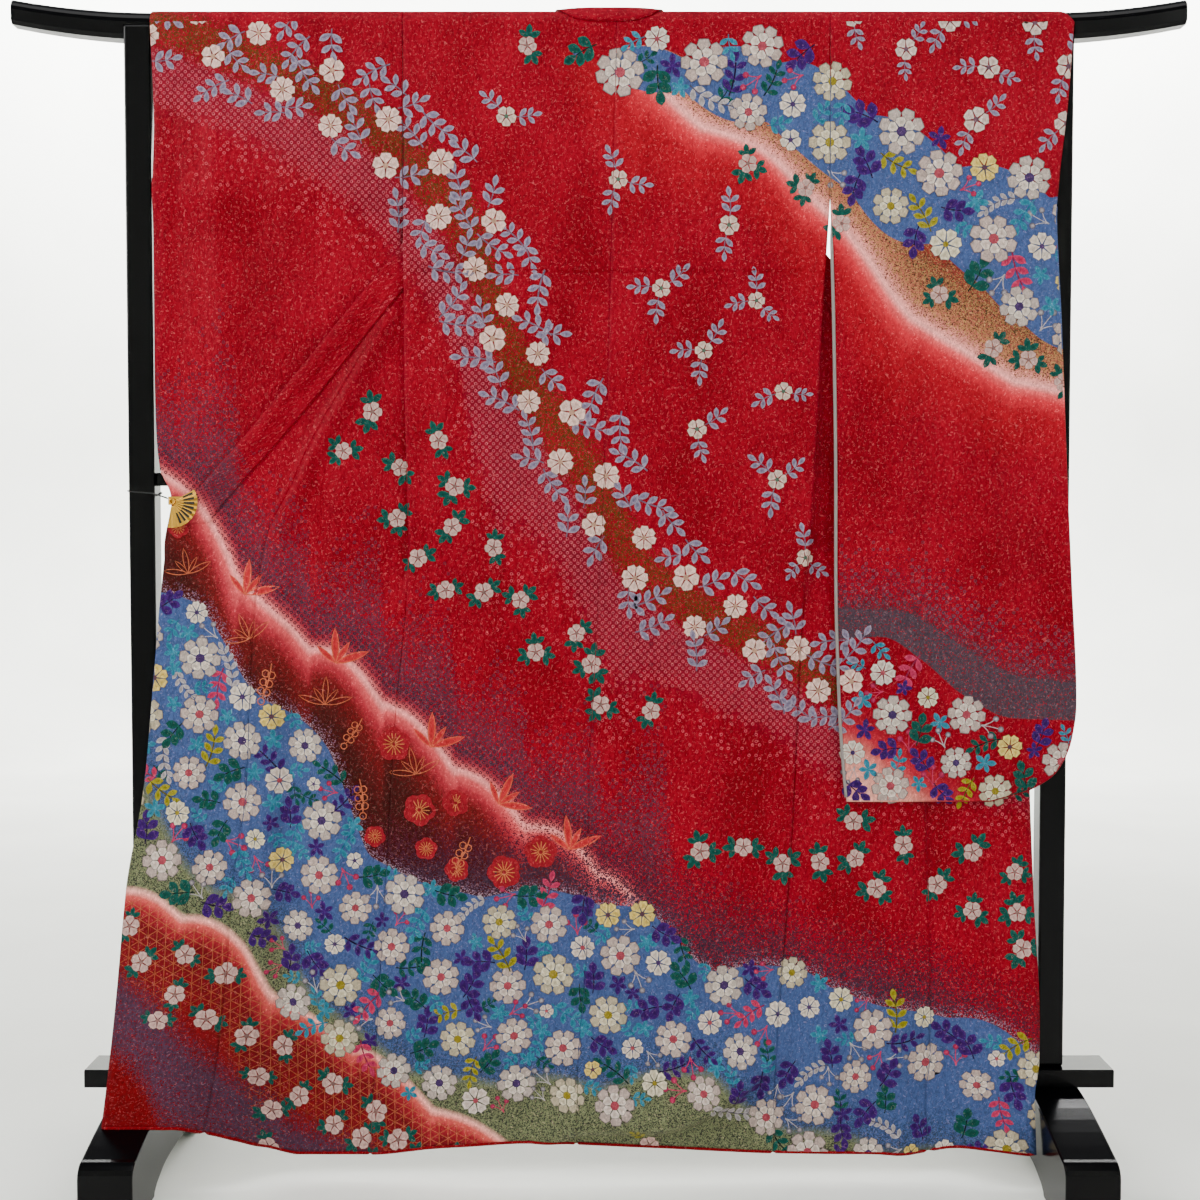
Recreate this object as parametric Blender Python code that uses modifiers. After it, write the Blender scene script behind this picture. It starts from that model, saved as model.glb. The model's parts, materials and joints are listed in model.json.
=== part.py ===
"""A furisode hung on a black lacquered kimono stand, seen from its back.

The bar of the stand runs through both sleeves and across the inside of the body.
The two fronts are drawn out sideways behind the back, the left one by a fan clip
tied to the post, so the cloth spreads out from the side seams below the waist.
Metres, +Z up, -Y towards the viewer, origin on the floor under the bar's middle.
"""

import math
from collections import namedtuple

import bpy
import bmesh
import numpy as np

# The cloth
CLOTH = 0.0012          # lined silk
SEAM = 0.0003           # gap between two pieces
LAP = CLOTH + SEAM      # from one layer's middle to the next one's
COLLAR_WIDTH = 0.055
COLLAR_LAP = 0.0017     # the collar's middle lies this far in front of the front's
COLLAR_LAP_TOP = 0.0037 # and this far where it bends round the front's turn
COLLAR_STEPS = 10
NECK_STEPS = 26
NECK_MIDDLE = 0.015
NECK_HALF = 0.082
NECK_DROP = 0.030       # how far the collar seam dips down the back
NECK_CUT = 0.0265       # how far the back is cut away under the collar
NECK_CUT_HALF = 0.076
NECK_FRONT = 0.035      # where the collar's back part ends, past the shoulder line
NECK_RISE = 0.004       # how far the collar stands off the bar
TUCK_LEVEL = 1.318      # the tuck across the waist
TUCK_RISE = 0.0012
WRIST_LEVEL = 1.455     # the sleeve's mouth is open above this
FRONT_TOP = 1.668       # the front's rows over the bar end here
OKUMI_TIP = 1.32        # the overlap panel starts here, under the collar
OKUMI_START = 0.0038    # as wide as this
COLLAR_END = 0.955
BACK_TOP = 1.663        # the back's rows over the bar end here
HEM_LEVEL = 0.040       # the hem's height in the tables, before HEM lifts it
HEM_REACH = 0.310       # the lift has died out this far above the hem
FOLD_START = 1.675      # the front begins to curl back on itself here
FOLD_SHUT = 1.575       # and lies doubled below this
TURN_ARC = 0.0126        # length of cloth in the front's turn
TURN_ARC_TOP = 0.0360    # and beside the neck, where it is looser
FOLD_RISE, FOLD_WIDTH = 0.0095, 0.017  # the ridge beside the overlap panel's seam
FOLD_BESIDE = 0.014      # how far from that seam it lies
EDGE_RISE = 0.0060       # the ridge along the free edge
FOLD_OPEN = (0.96, 0.82)  # where the doubled front opens out flat again
LAP_IN = 0.001          # how far the front reaches in behind the back where it lies flat
FOLD_LEAST = 0.003      # shortest stretch of cloth on either side of the turn
SLEEVE_GAP = 0.0018     # how far a sleeve's edge rounds out past its two layers

# The stand
BAR_HALF = 0.848
BAR_DEPTH = 0.018       # half the bar's depth, and the radius of its top
BAR_MIDDLE = 1.675      # centre of the bar's round top
BAR_BOTTOM = 1.651
BAR_TIP_RISE = 0.022
BAR_BEND = 0.620        # the bar's ends turn up from here
DRAPE = 0.0195          # radius of the cloth's middle over the bar
POST_X = 0.6665
POST_HALF = 0.019
POST_DEPTH = 0.018
POST_TOP = 1.672
RAIL_LOW, RAIL_HIGH, RAIL_DEPTH = 1.009, 1.028, 0.0095
BOARD_HALF, BOARD_DEPTH = 0.756, 0.034
BOARD_LOW, BOARD_HIGH = 0.1263, 0.1528
FOOT_HALF = 0.0375
FOOT_REACH = 0.225
FOOT_TOP = 0.126
FOOT_SHOULDER = 0.204   # the top's slope ends here, where the toe rounds over
FOOT_DROP = 0.038
TOE_TOP = 0.067
ARCH_REACH, ARCH_RISE = 0.120, 0.032

# The clip
FAN_PIVOT = (-0.6205, 0.985)
FAN_RADIUS = 0.0375
FAN_FROM, FAN_TO = math.radians(-99), math.radians(29)
FAN_PLEATS = 10
FAN_PLATE = 0.0012
FAN_FACE = -0.0236      # the fan's middle, just in front of the collar
JAW_FACE = -0.0100      # the clip's rear plate, behind the sleeve
TIE_RADIUS = 0.0010

Side = namedtuple("Side", "z hinge edge tuck okumi")
# hinge: the side seam. edge: the front's free edge. tuck: how far the front runs in
# behind the back before it turns out. okumi: from the overlap panel's seam to the edge.
LEFT_FRONT = (
    Side(z=1.675, hinge=-0.2825, edge=-0.012, tuck=0.2420, okumi=0.0535),
    Side(z=1.560, hinge=-0.2825, edge=-0.112, tuck=0.2140, okumi=0.0535),
    Side(z=1.433, hinge=-0.2825, edge=-0.222, tuck=0.1730, okumi=0.0535),
    Side(z=1.360, hinge=-0.2825, edge=-0.283, tuck=0.1460, okumi=0.0535),
    Side(z=1.310, hinge=-0.2820, edge=-0.324, tuck=0.1270, okumi=0.0540),
    Side(z=1.160, hinge=-0.2815, edge=-0.447, tuck=0.0730, okumi=0.079),
    Side(z=1.080, hinge=-0.2800, edge=-0.514, tuck=0.0440, okumi=0.100),
    Side(z=1.001, hinge=-0.2780, edge=-0.585, tuck=0.0170, okumi=0.134),
    Side(z=0.955, hinge=-0.2770, edge=-0.621, tuck=0.0040, okumi=0.146),
    Side(z=0.911, hinge=-0.2765, edge=-0.633, tuck=0.0015, okumi=0.144),
    Side(z=0.837, hinge=-0.2800, edge=-0.640, tuck=0.0015, okumi=0.141),
    Side(z=0.697, hinge=-0.2940, edge=-0.653, tuck=0.0015, okumi=0.145),
    Side(z=0.563, hinge=-0.3040, edge=-0.666, tuck=0.0015, okumi=0.150),
    Side(z=0.418, hinge=-0.3120, edge=-0.686, tuck=0.0015, okumi=0.152),
    Side(z=0.240, hinge=-0.3230, edge=-0.691, tuck=0.0015, okumi=0.148),
    Side(z=0.040, hinge=-0.3360, edge=-0.698, tuck=0.0015, okumi=0.138),
)
RIGHT_FRONT = (
    Side(z=1.675, hinge=0.3330, edge=0.042, tuck=0.2620, okumi=0.0535),
    Side(z=1.560, hinge=0.3330, edge=0.156, tuck=0.2200, okumi=0.0535),
    Side(z=1.433, hinge=0.3330, edge=0.256, tuck=0.1780, okumi=0.0535),
    Side(z=1.360, hinge=0.3290, edge=0.315, tuck=0.1490, okumi=0.0535),
    Side(z=1.310, hinge=0.3255, edge=0.355, tuck=0.1310, okumi=0.0540),
    Side(z=1.160, hinge=0.3180, edge=0.474, tuck=0.0790, okumi=0.079),
    Side(z=1.080, hinge=0.3150, edge=0.538, tuck=0.0500, okumi=0.100),
    Side(z=1.001, hinge=0.3110, edge=0.600, tuck=0.0190, okumi=0.134),
    Side(z=0.955, hinge=0.3080, edge=0.613, tuck=0.0060, okumi=0.146),
    Side(z=0.911, hinge=0.3040, edge=0.616, tuck=0.0030, okumi=0.146),
    Side(z=0.837, hinge=0.2970, edge=0.619, tuck=0.0015, okumi=0.147),
    Side(z=0.697, hinge=0.2900, edge=0.625, tuck=0.0015, okumi=0.150),
    Side(z=0.550, hinge=0.2840, edge=0.631, tuck=0.0015, okumi=0.152),
    Side(z=0.400, hinge=0.2750, edge=0.637, tuck=0.0015, okumi=0.153),
    Side(z=0.270, hinge=0.2650, edge=0.640, tuck=0.0015, okumi=0.153),
    Side(z=0.175, hinge=0.2580, edge=0.636, tuck=0.0015, okumi=0.150),
    Side(z=0.120, hinge=0.2560, edge=0.6270, tuck=0.0015, okumi=0.146),
    Side(z=0.040, hinge=0.2550, edge=0.6255, tuck=0.0015, okumi=0.142),
)

Middle = namedtuple("Middle", "z x")
BACK_SEAM = (
    Middle(z=1.675, x=0.026),
    Middle(z=1.132, x=0.012),
    Middle(z=0.873, x=0.001),
    Middle(z=0.624, x=-0.012),
    Middle(z=0.308, x=-0.019),
    Middle(z=0.173, x=-0.030),
    Middle(z=0.040, x=-0.033),
)

Layers = namedtuple("Layers", "z back left_front right_front left_near left_far right_near right_far")
# How far in front of the bar's centre each layer hangs. The near and far layers are the
# sleeves'. The left sleeve falls back behind the left front, and the right one forward.
LAYERS = (
    Layers(1.675, -0.0195, 0.0195, 0.0195, -0.0195, 0.0195, -0.0195, 0.0195),
    Layers(1.650, -0.0195, 0.0195, 0.0195, -0.0195, 0.0195, -0.0195, 0.0195),
    Layers(1.560, -0.0215, 0.0065, -0.0010, -0.0215, 0.0065, -0.0215, -0.0010),
    Layers(1.470, -0.0245, -0.0075, -0.0205, -0.0245, -0.0075, -0.0245, -0.0205),
    Layers(1.433, -0.0257, -0.0160, -0.0218, -0.0250, -0.0120, -0.0259, -0.0218),
    Layers(1.400, -0.0265, -0.0225, -0.0228, -0.0190, -0.0120, -0.0270, -0.0230),
    Layers(1.360, -0.0277, -0.0262, -0.0250, -0.0157, -0.0120, -0.0310, -0.0270),
    Layers(1.340, -0.0280, -0.0265, -0.0265, -0.0155, -0.0118, -0.0330, -0.0290),
    Layers(1.250, -0.0285, -0.0270, -0.0270, -0.0155, -0.0115, -0.0350, -0.0310),
    Layers(0.550, -0.0285, -0.0270, -0.0270, -0.0155, -0.0115, -0.0355, -0.0315),
    Layers(0.170, -0.0385, -0.0370, -0.0370, -0.0155, -0.0115, -0.0355, -0.0315),
    Layers(0.020, -0.0385, -0.0370, -0.0370, -0.0155, -0.0115, -0.0355, -0.0315),
)

Hem = namedtuple("Hem", "x z")
HEM = (
    Hem(x=-0.720, z=0.1065),
    Hem(x=-0.629, z=0.1065),
    Hem(x=-0.600, z=0.1050),
    Hem(x=-0.570, z=0.0950),
    Hem(x=-0.520, z=0.0690),
    Hem(x=-0.494, z=0.0510),
    Hem(x=-0.440, z=0.0310),
    Hem(x=-0.336, z=0.0310),
    Hem(x=-0.233, z=0.0410),
    Hem(x=-0.120, z=0.0480),
    Hem(x=0.082, z=0.0410),
    Hem(x=0.295, z=0.0320),
    Hem(x=0.441, z=0.0310),
    Hem(x=0.585, z=0.0520),
    Hem(x=0.650, z=0.0530),
)

Break = namedtuple("Break", "x z rise")
# The back's foot sags over itself: the crest of that fold and how far it stands out.
HEM_BREAK = (
    Break(x=-0.100, z=0.048, rise=0.000),
    Break(x=-0.022, z=0.075, rise=0.020),
    Break(x=0.081, z=0.077, rise=0.024),
    Break(x=0.193, z=0.118, rise=0.022),
    Break(x=0.244, z=0.160, rise=0.010),
    Break(x=0.290, z=0.185, rise=0.000),
)
BREAK_ABOVE, BREAK_BELOW = 0.070, 0.024

Swell = namedtuple("Swell", "start end lowest highest rise power")
# Where a foot of the stand pushes the cloth out, between two x values and two heights.
SWELLS = (
    Swell(start=-0.45, end=-0.62, lowest=0.105, highest=0.62, rise=0.1035, power=1.5),
    Swell(start=0.50, end=0.625, lowest=0.053, highest=0.42, rise=0.0620, power=1.4),
)

Crease = namedtuple("Crease", "x_top z_top x_foot z_foot width rise")
# Soft ridges in the hanging cloth, each from its top end to its foot.
CREASES = (
    Crease(x_top=0.431, z_top=0.540, x_foot=0.442, z_foot=-0.10, width=0.022, rise=0.006),
    Crease(x_top=-0.508, z_top=0.330, x_foot=-0.526, z_foot=-0.08, width=0.022, rise=0.006),
    Crease(x_top=-0.500, z_top=0.930, x_foot=-0.518, z_foot=0.560, width=0.034, rise=0.007),
    Crease(x_top=-0.420, z_top=0.900, x_foot=-0.480, z_foot=0.640, width=0.036, rise=0.005),
    Crease(x_top=0.120, z_top=0.620, x_foot=0.150, z_foot=0.020, width=0.050, rise=0.006),
    Crease(x_top=-0.150, z_top=0.560, x_foot=-0.180, z_foot=-0.05, width=0.055, rise=0.006),
    Crease(x_top=0.550, z_top=0.480, x_foot=0.560, z_foot=-0.05, width=0.030, rise=0.006),
)
CREASE_FADE = 0.22

Sleeve = namedtuple("Sleeve", "z inner outer")
LEFT_SLEEVE = (
    Sleeve(z=1.675, inner=-0.2828, outer=-0.6465),
    Sleeve(z=1.521, inner=-0.2828, outer=-0.6410),
    Sleeve(z=1.433, inner=-0.2830, outer=-0.6435),
    Sleeve(z=1.162, inner=-0.2890, outer=-0.6440),
    Sleeve(z=1.085, inner=-0.2890, outer=-0.6425),
    Sleeve(z=1.029, inner=-0.2890, outer=-0.6370),
    Sleeve(z=1.006, inner=-0.2890, outer=-0.6270),
    Sleeve(z=0.988, inner=-0.2890, outer=-0.6210),
    Sleeve(z=0.970, inner=-0.2890, outer=-0.6240),
    Sleeve(z=0.917, inner=-0.2900, outer=-0.6330),
    Sleeve(z=0.760, inner=-0.2930, outer=-0.6310),
    Sleeve(z=0.660, inner=-0.2960, outer=-0.6260),
    Sleeve(z=0.605, inner=-0.2980, outer=-0.6100),
    Sleeve(z=0.570, inner=-0.2990, outer=-0.5800),
    Sleeve(z=0.551, inner=-0.3000, outer=-0.5200),
)
RIGHT_SLEEVE = (
    Sleeve(z=1.675, inner=0.3333, outer=0.6840),
    Sleeve(z=1.564, inner=0.3333, outer=0.6760),
    Sleeve(z=1.440, inner=0.3333, outer=0.6620),
    Sleeve(z=1.389, inner=0.3345, outer=0.6580),
    Sleeve(z=1.231, inner=0.3390, outer=0.6650),
    Sleeve(z=1.022, inner=0.3430, outer=0.6750),
    Sleeve(z=0.873, inner=0.3440, outer=0.6830),
    Sleeve(z=0.689, inner=0.3500, outer=0.6920),
    Sleeve(z=0.641, inner=0.3530, outer=0.6860),
    Sleeve(z=0.595, inner=0.3570, outer=0.6660),
    Sleeve(z=0.568, inner=0.3595, outer=0.6280),
    Sleeve(z=0.551, inner=0.3610, outer=0.5700),
)
LEFT_CUFF, RIGHT_CUFF = -0.6450, 0.6400   # the far layer's edge, inside the post


def ease(t):
    """Smooth step from 0 to 1."""
    t = np.clip(t, 0.0, 1.0)
    return t * t * (3.0 - 2.0 * t)


def flow(value, rows, column, key="z"):
    """Smooth curve through one column of a table that never overshoots its rows."""
    rows = sorted(rows, key=lambda row: getattr(row, key))
    at = np.array([getattr(row, key) for row in rows])
    v = np.array([getattr(row, column) for row in rows])
    gap = np.diff(at)
    rise = np.diff(v) / gap
    slope = np.concatenate([rise[:1], np.zeros(len(rise) - 1), rise[-1:]])
    both = rise[:-1] * rise[1:] > 0
    slope[1:-1][both] = 2.0 / (1.0 / rise[:-1][both] + 1.0 / rise[1:][both])
    value = np.clip(np.asarray(value, float), at[0], at[-1])
    i = np.clip(np.searchsorted(at, value, side="right") - 1, 0, len(gap) - 1)
    t = (value - at[i]) / gap[i]
    start = v[i] * (1 + 2 * t) * (1 - t) ** 2 + slope[i] * gap[i] * t * (1 - t) ** 2
    end = v[i + 1] * t * t * (3 - 2 * t) + slope[i + 1] * gap[i] * t * t * (t - 1)
    return start + end


def relief(x, z):
    """How far the cloth of the body stands out in front of its own hanging plane."""
    out = np.zeros(np.broadcast(x, z).shape)
    for swell in SWELLS:
        across = ease((x - swell.start) / (swell.end - swell.start))
        down = np.clip((swell.highest - z) / (swell.highest - swell.lowest), 0.0, None)
        out += swell.rise * across * down ** swell.power
    for crease in CREASES:
        t = (crease.z_top - z) / (crease.z_top - crease.z_foot)
        aside = (x - crease.x_top - t * (crease.x_foot - crease.x_top)) / crease.width
        window = ease(t / CREASE_FADE) * ease((1.0 - t) / CREASE_FADE)
        out += crease.rise * np.exp(-aside ** 2) * window
    crest = flow(x, HEM_BREAK, "z", key="x")
    rise = flow(x, HEM_BREAK, "rise", key="x")
    above = np.exp(-((z - crest) / BREAK_ABOVE) ** 2)
    below = 1.0 - ease((crest - z) / BREAK_BELOW)
    return out + rise * np.where(z > crest, above, below)


def hem_lift(x, level):
    """Height of a point of the body, whose foot follows the hem's line."""
    t = np.clip((HEM_LEVEL + HEM_REACH - level) / HEM_REACH, 0.0, 1.0)
    return level + (flow(x, HEM, "z", key="x") - HEM_LEVEL) * t * t


def hung(x, level, layer):
    """A body point: its height follows the hem, its depth the layer and the folds."""
    z = hem_lift(x, level)
    return np.stack([x, flow(z, LAYERS, layer) - relief(x, z), z], axis=-1)


def over_bar(x, q, lift=0.0):
    """A point on the cloth round the bar's top: q runs down the far side from the ridge."""
    r = DRAPE + lift
    x, angle, r = np.broadcast_arrays(x, q / DRAPE, r)
    return np.stack([x, r * np.sin(angle), BAR_MIDDLE + r * np.cos(angle)], axis=-1)


QUARTER = DRAPE * math.pi / 2      # along the cloth from the ridge to where it hangs straight


def section(rows, level, s):
    """Across a front at one height: inward from the side seam, and back from it.

    The cloth runs in behind the back, makes a round turn and comes out again. At the
    top it does not turn at all, and below the clip it starts out straight away.
    """
    sign = 1.0 if rows[0].hinge < 0 else -1.0
    inward = sign * (flow(level, rows, "edge") - flow(level, rows, "hinge"))
    start = math.pi * ease((FOLD_OPEN[0] - level) / (FOLD_OPEN[0] - FOLD_OPEN[1]))
    turn = math.pi * ease((FOLD_START - level) / (FOLD_START - FOLD_SHUT)) - start
    arc = TURN_ARC + (TURN_ARC_TOP - TURN_ARC) * ease((level - 1.40) / 0.18) - 0.0030 * np.sin(start)
    first = flow(level, rows, "tuck")
    reach = first * np.cos(start) + arc * np.cos(start + turn / 2) * np.sinc(turn / 2 / math.pi)
    second = np.maximum(reach - inward, FOLD_LEAST)
    width = first + arc + second
    s = np.asarray(s(first, arc, second, level))
    t = np.clip(s - first, 0.0, arc)
    bend = t * turn / arc / 2
    after = np.clip(s - first - arc, 0.0, None)
    before = np.minimum(s, first)
    chord = t * np.sinc(bend / math.pi)
    dx = before * np.cos(start) + chord * np.cos(start + bend) + after * np.cos(start + turn)
    dy = before * np.sin(start) + chord * np.sin(start + bend) + after * np.sin(start + turn)
    dx += LAP_IN * start / math.pi
    return flow(level, rows, "hinge") + sign * dx, dy, width


def drawn_folds(rows, level, x):
    """The folds that radiate from the armhole where a front is drawn out to its clip."""
    out = np.abs(x - flow(level, rows, "hinge"))
    free = np.abs(flow(level, rows, "edge") - flow(level, rows, "hinge"))
    seam = free - flow(level, rows, "okumi")
    height = ease((1.33 - level) / 0.10)
    beside = FOLD_RISE * np.exp(-((out - seam + FOLD_BESIDE) / FOLD_WIDTH) ** 2)
    at_edge = EDGE_RISE * np.exp(-((free - out - 0.010) / 0.024) ** 2)
    beside = beside * ease((level - 0.84) / 0.22)
    at_edge = at_edge * ease((level - 0.97) / 0.12)
    return (beside + at_edge) * height * ease((out - 0.004) / 0.035)


def front_point(rows, level, s):
    """A point of a front at a height in the tables. s gives its place along the cloth."""
    layer = "left_front" if rows is LEFT_FRONT else "right_front"
    x, back, _ = section(rows, level, s)
    point = hung(x, level, layer)
    outside = (x - flow(level, rows, "hinge")) * (-1.0 if rows is LEFT_FRONT else 1.0) > 0.0
    point[..., 1] += back
    if rows is LEFT_FRONT:
        point[..., 1] -= np.where(outside, drawn_folds(rows, level, x), 0.0)
    return point


def along(level, first, arc, end):
    """Places along a front's cloth: in, round the turn and out where it is folded, else even."""
    inside = np.minimum(first, end - 0.024)
    turned = np.minimum(first + arc, (inside + end) / 2)
    pieces = (0.0 * inside, inside, 3), (inside, turned, 4), (turned, end, 9)
    folded = [a + (b - a) * np.linspace(0.0, 1.0, n + 1)[:-1, None] for a, b, n in pieces]
    folded = np.concatenate(folded + [end[None]])
    even = np.linspace(0.0, 1.0, len(folded))[:, None] * end
    flat = ease((FOLD_OPEN[0] - level) / (FOLD_OPEN[0] - FOLD_OPEN[1]))
    return folded + (even - folded) * flat


def levels(top, foot, count, dense=0.0):
    """Heights from top to foot, with the last part of them packed closer."""
    t = np.linspace(0.0, 1.0, count + 1)
    t = t + dense * t * (1.0 - t)
    return top + (foot - top) * t


def body_levels(top=OKUMI_TIP, count=0, last=HEM_LEVEL):
    """The heights of the body's rows. Below the overlap panel's tip all pieces share them."""
    shared = np.concatenate([
        levels(OKUMI_TIP, COLLAR_END, 8),
        levels(COLLAR_END, 0.80, 7)[1:],
        levels(0.80, 0.33, 6)[1:],
        levels(0.33, HEM_LEVEL, 11, dense=0.5)[1:],
    ])
    above = levels(top, OKUMI_TIP, count, dense=-0.4)[:-1] if count else []
    return np.concatenate([above, shared[shared > last - 1e-9]])


def shell(name, points, material, extra=None, flip=False):
    """A wall of cloth on a grid of points, with any extra faces at its rim."""
    rows, cols = points.shape[:2]
    index = np.arange(rows * cols).reshape(rows, cols)
    quads = np.stack([index[:-1, :-1], index[:-1, 1:], index[1:, 1:], index[1:, :-1]], axis=-1)
    verts, faces = points.reshape(-1, 3), quads.reshape(-1, 4)
    if extra is not None:
        verts = np.concatenate([verts, extra[0]])
        faces = np.concatenate([faces, extra[1]])
    if flip:
        faces = faces[:, ::-1]
    mesh = bpy.data.meshes.new(name)
    mesh.from_pydata(verts.tolist(), [], faces.tolist())
    mesh.shade_smooth()
    obj = add_object(name, mesh, material)
    wall = obj.modifiers.new("Wall", "SOLIDIFY")
    wall.thickness = CLOTH
    wall.offset = 0.0
    wall.use_rim = True
    return obj


def add_object(name, mesh, material, collection=None):
    obj = bpy.data.objects.new(name, mesh)
    (collection or PART).objects.link(obj)
    if material is not None:
        mesh.materials.append(material)
    return obj


def finish(name, colour, roughness, metallic=0.0):
    """A plain material: its colour, how rough it is and whether it is metal."""
    material = bpy.data.materials.new(name)
    material.use_nodes = True
    shader = material.node_tree.nodes["Principled BSDF"]
    shader.inputs["Base Color"].default_value = (*colour, 1.0)
    shader.inputs["Roughness"].default_value = roughness
    shader.inputs["Metallic"].default_value = metallic
    material.diffuse_color = (*colour, 1.0)
    return material


def make_back(name, rows, material):
    """One half of the back, from the shoulder line over the bar's top down to the hem."""
    sign = -1.0 if rows is LEFT_FRONT else 1.0
    hang = body_levels(BACK_TOP, 7)
    seam = (flow(hang, BACK_SEAM, "x") + sign * SEAM / 2)[:, None]
    side = flow(hang, rows, "hinge")[:, None]
    arc = np.linspace(0.0, 0.4 * math.pi, 5)
    neck = NECK_MIDDLE + sign * NECK_CUT_HALF * np.cos(arc)
    across = (neck - side[0]) / (seam[0] - side[0])
    across = np.concatenate([np.linspace(0.0, across[0], 4)[:-1], across, [1.0]])
    x = side + (seam - side) * across
    body = hung(x, np.broadcast_to(hang[:, None], x.shape), "back")
    above = body[..., 2] - TUCK_LEVEL
    body[..., 1] -= TUCK_RISE * np.where(above > 0.0, ease(1.0 - above / 0.06), 0.0)
    aside = np.clip(np.abs(x[0] - NECK_MIDDLE) / NECK_CUT_HALF, 0.0, 1.0)
    top = -NECK_CUT * (1.0 - aside ** 2) ** 0.75 - SEAM / 2
    foot = -QUARTER - BAR_MIDDLE + BACK_TOP
    wrap = top + (foot - top) * np.linspace(0.0, 1.0, 7)[:-1, None]
    shoulder = over_bar(x[0], np.maximum(wrap, -QUARTER))
    shoulder[..., 2] -= np.maximum(-QUARTER - wrap, 0.0)
    return shell(name, np.concatenate([shoulder, body]), material, flip=sign > 0)


def make_front(name, rows, material):
    """One front panel, from the shoulder line down the far side to the hem."""
    hang = body_levels(FRONT_TOP, 10)
    level = np.broadcast_to(hang, (17, len(hang)))

    def s(first, arc, second, level):
        width = (first + arc + second)[0]
        end = width - flow(level[0], rows, "okumi") - SEAM / 2
        return along(level[0], first[0], arc[0], end)

    body = front_point(rows, level, s).transpose(1, 0, 2)
    wrap = np.linspace(SEAM / 2, QUARTER, 5)[:-1, None]
    shoulder = over_bar(body[0, :, 0], wrap)
    return shell(name, np.concatenate([shoulder, body]), material, flip=rows is RIGHT_FRONT)


def make_okumi(name, rows, material):
    """The overlap panel, from its tip under the collar to the hem."""
    hang = body_levels()
    level = np.broadcast_to(hang, (7, len(hang)))

    def s(first, arc, second, level):
        width = first + arc + second
        start = width - flow(level, rows, "okumi") + 0.8 * SEAM
        under = flow(OKUMI_TIP, rows, "okumi") - OKUMI_START
        stop = width - under * ease((level - COLLAR_END) / 0.24) ** 0.8
        return start + (stop - start) * np.linspace(0.0, 1.0, 7)[:, None]

    body = front_point(rows, level, s).transpose(1, 0, 2)
    return shell(name, body, material, flip=rows is RIGHT_FRONT)


def collar_strip(rows, hang):
    """The collar along one front: the front's own points, moved out from its face."""
    level = np.broadcast_to(hang, (COLLAR_STEPS + 1, len(hang)))

    def place(shift):
        def s(first, arc, second, level):
            t = np.linspace(0.0, 1.0, COLLAR_STEPS + 1)[:, None]
            return first + arc + second - COLLAR_WIDTH * (1.0 - t) + shift
        return s

    small = 0.0005
    point = front_point(rows, level, place(0.0))
    across = front_point(rows, level, place(small)) - front_point(rows, level, place(-small))
    down = front_point(rows, level - small, place(0.0)) - front_point(rows, level + small, place(0.0))
    out = np.cross(across, down)
    out *= (1.0 if rows is LEFT_FRONT else -1.0) / np.linalg.norm(out, axis=-1, keepdims=True)
    lap = COLLAR_LAP + (COLLAR_LAP_TOP - COLLAR_LAP) * ease((level - 1.42) / 0.08)
    return (point + lap[..., None] * out).transpose(1, 0, 2)


def make_collar(name, material):
    """The collar: down the left front, round the back of the neck and down the right."""
    hang = body_levels(FRONT_TOP, 10, last=COLLAR_END)
    turn = np.linspace(-math.pi / 2, math.pi / 2, 400)
    bow = np.sign(np.sin(turn)) * np.abs(np.sin(turn)) ** 0.6
    seam = np.stack([NECK_MIDDLE + NECK_HALF * bow,
                     NECK_FRONT - (NECK_DROP + NECK_FRONT) * np.abs(np.cos(turn)) ** 0.7])
    edge = np.stack([NECK_MIDDLE + (NECK_HALF - COLLAR_WIDTH) * bow,
                     NECK_FRONT - 0.011 * np.abs(np.cos(turn))])
    run = np.concatenate([[0.0], np.cumsum(np.hypot(*np.diff(seam, axis=1)))])
    even = np.linspace(0.0, run[-1], NECK_STEPS + 1)[1:-1]
    t = np.linspace(0.0, 1.0, COLLAR_STEPS + 1)
    (seam_x, seam_q), (edge_x, edge_q) = (
        [np.interp(even, run, row)[:, None] for row in line] for line in (seam, edge))
    x = seam_x + (edge_x - seam_x) * t
    q = seam_q + (edge_q - seam_q) * t
    back = np.interp(even, run, np.cos(turn))[:, None]
    lap = COLLAR_LAP_TOP + (COLLAR_LAP - COLLAR_LAP_TOP) * back
    stand = NECK_RISE * back * np.sin(math.pi * np.clip(t * 1.15, 0, 1))
    neck = over_bar(x, np.clip(q, -QUARTER, QUARTER), lap + stand)
    neck[..., 2] -= np.clip(np.abs(q) - QUARTER, 0.0, None)
    left = collar_strip(LEFT_FRONT, hang)[::-1]
    right = collar_strip(RIGHT_FRONT, hang)
    return shell(name, np.concatenate([left, neck, right]), material, flip=True)


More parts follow.
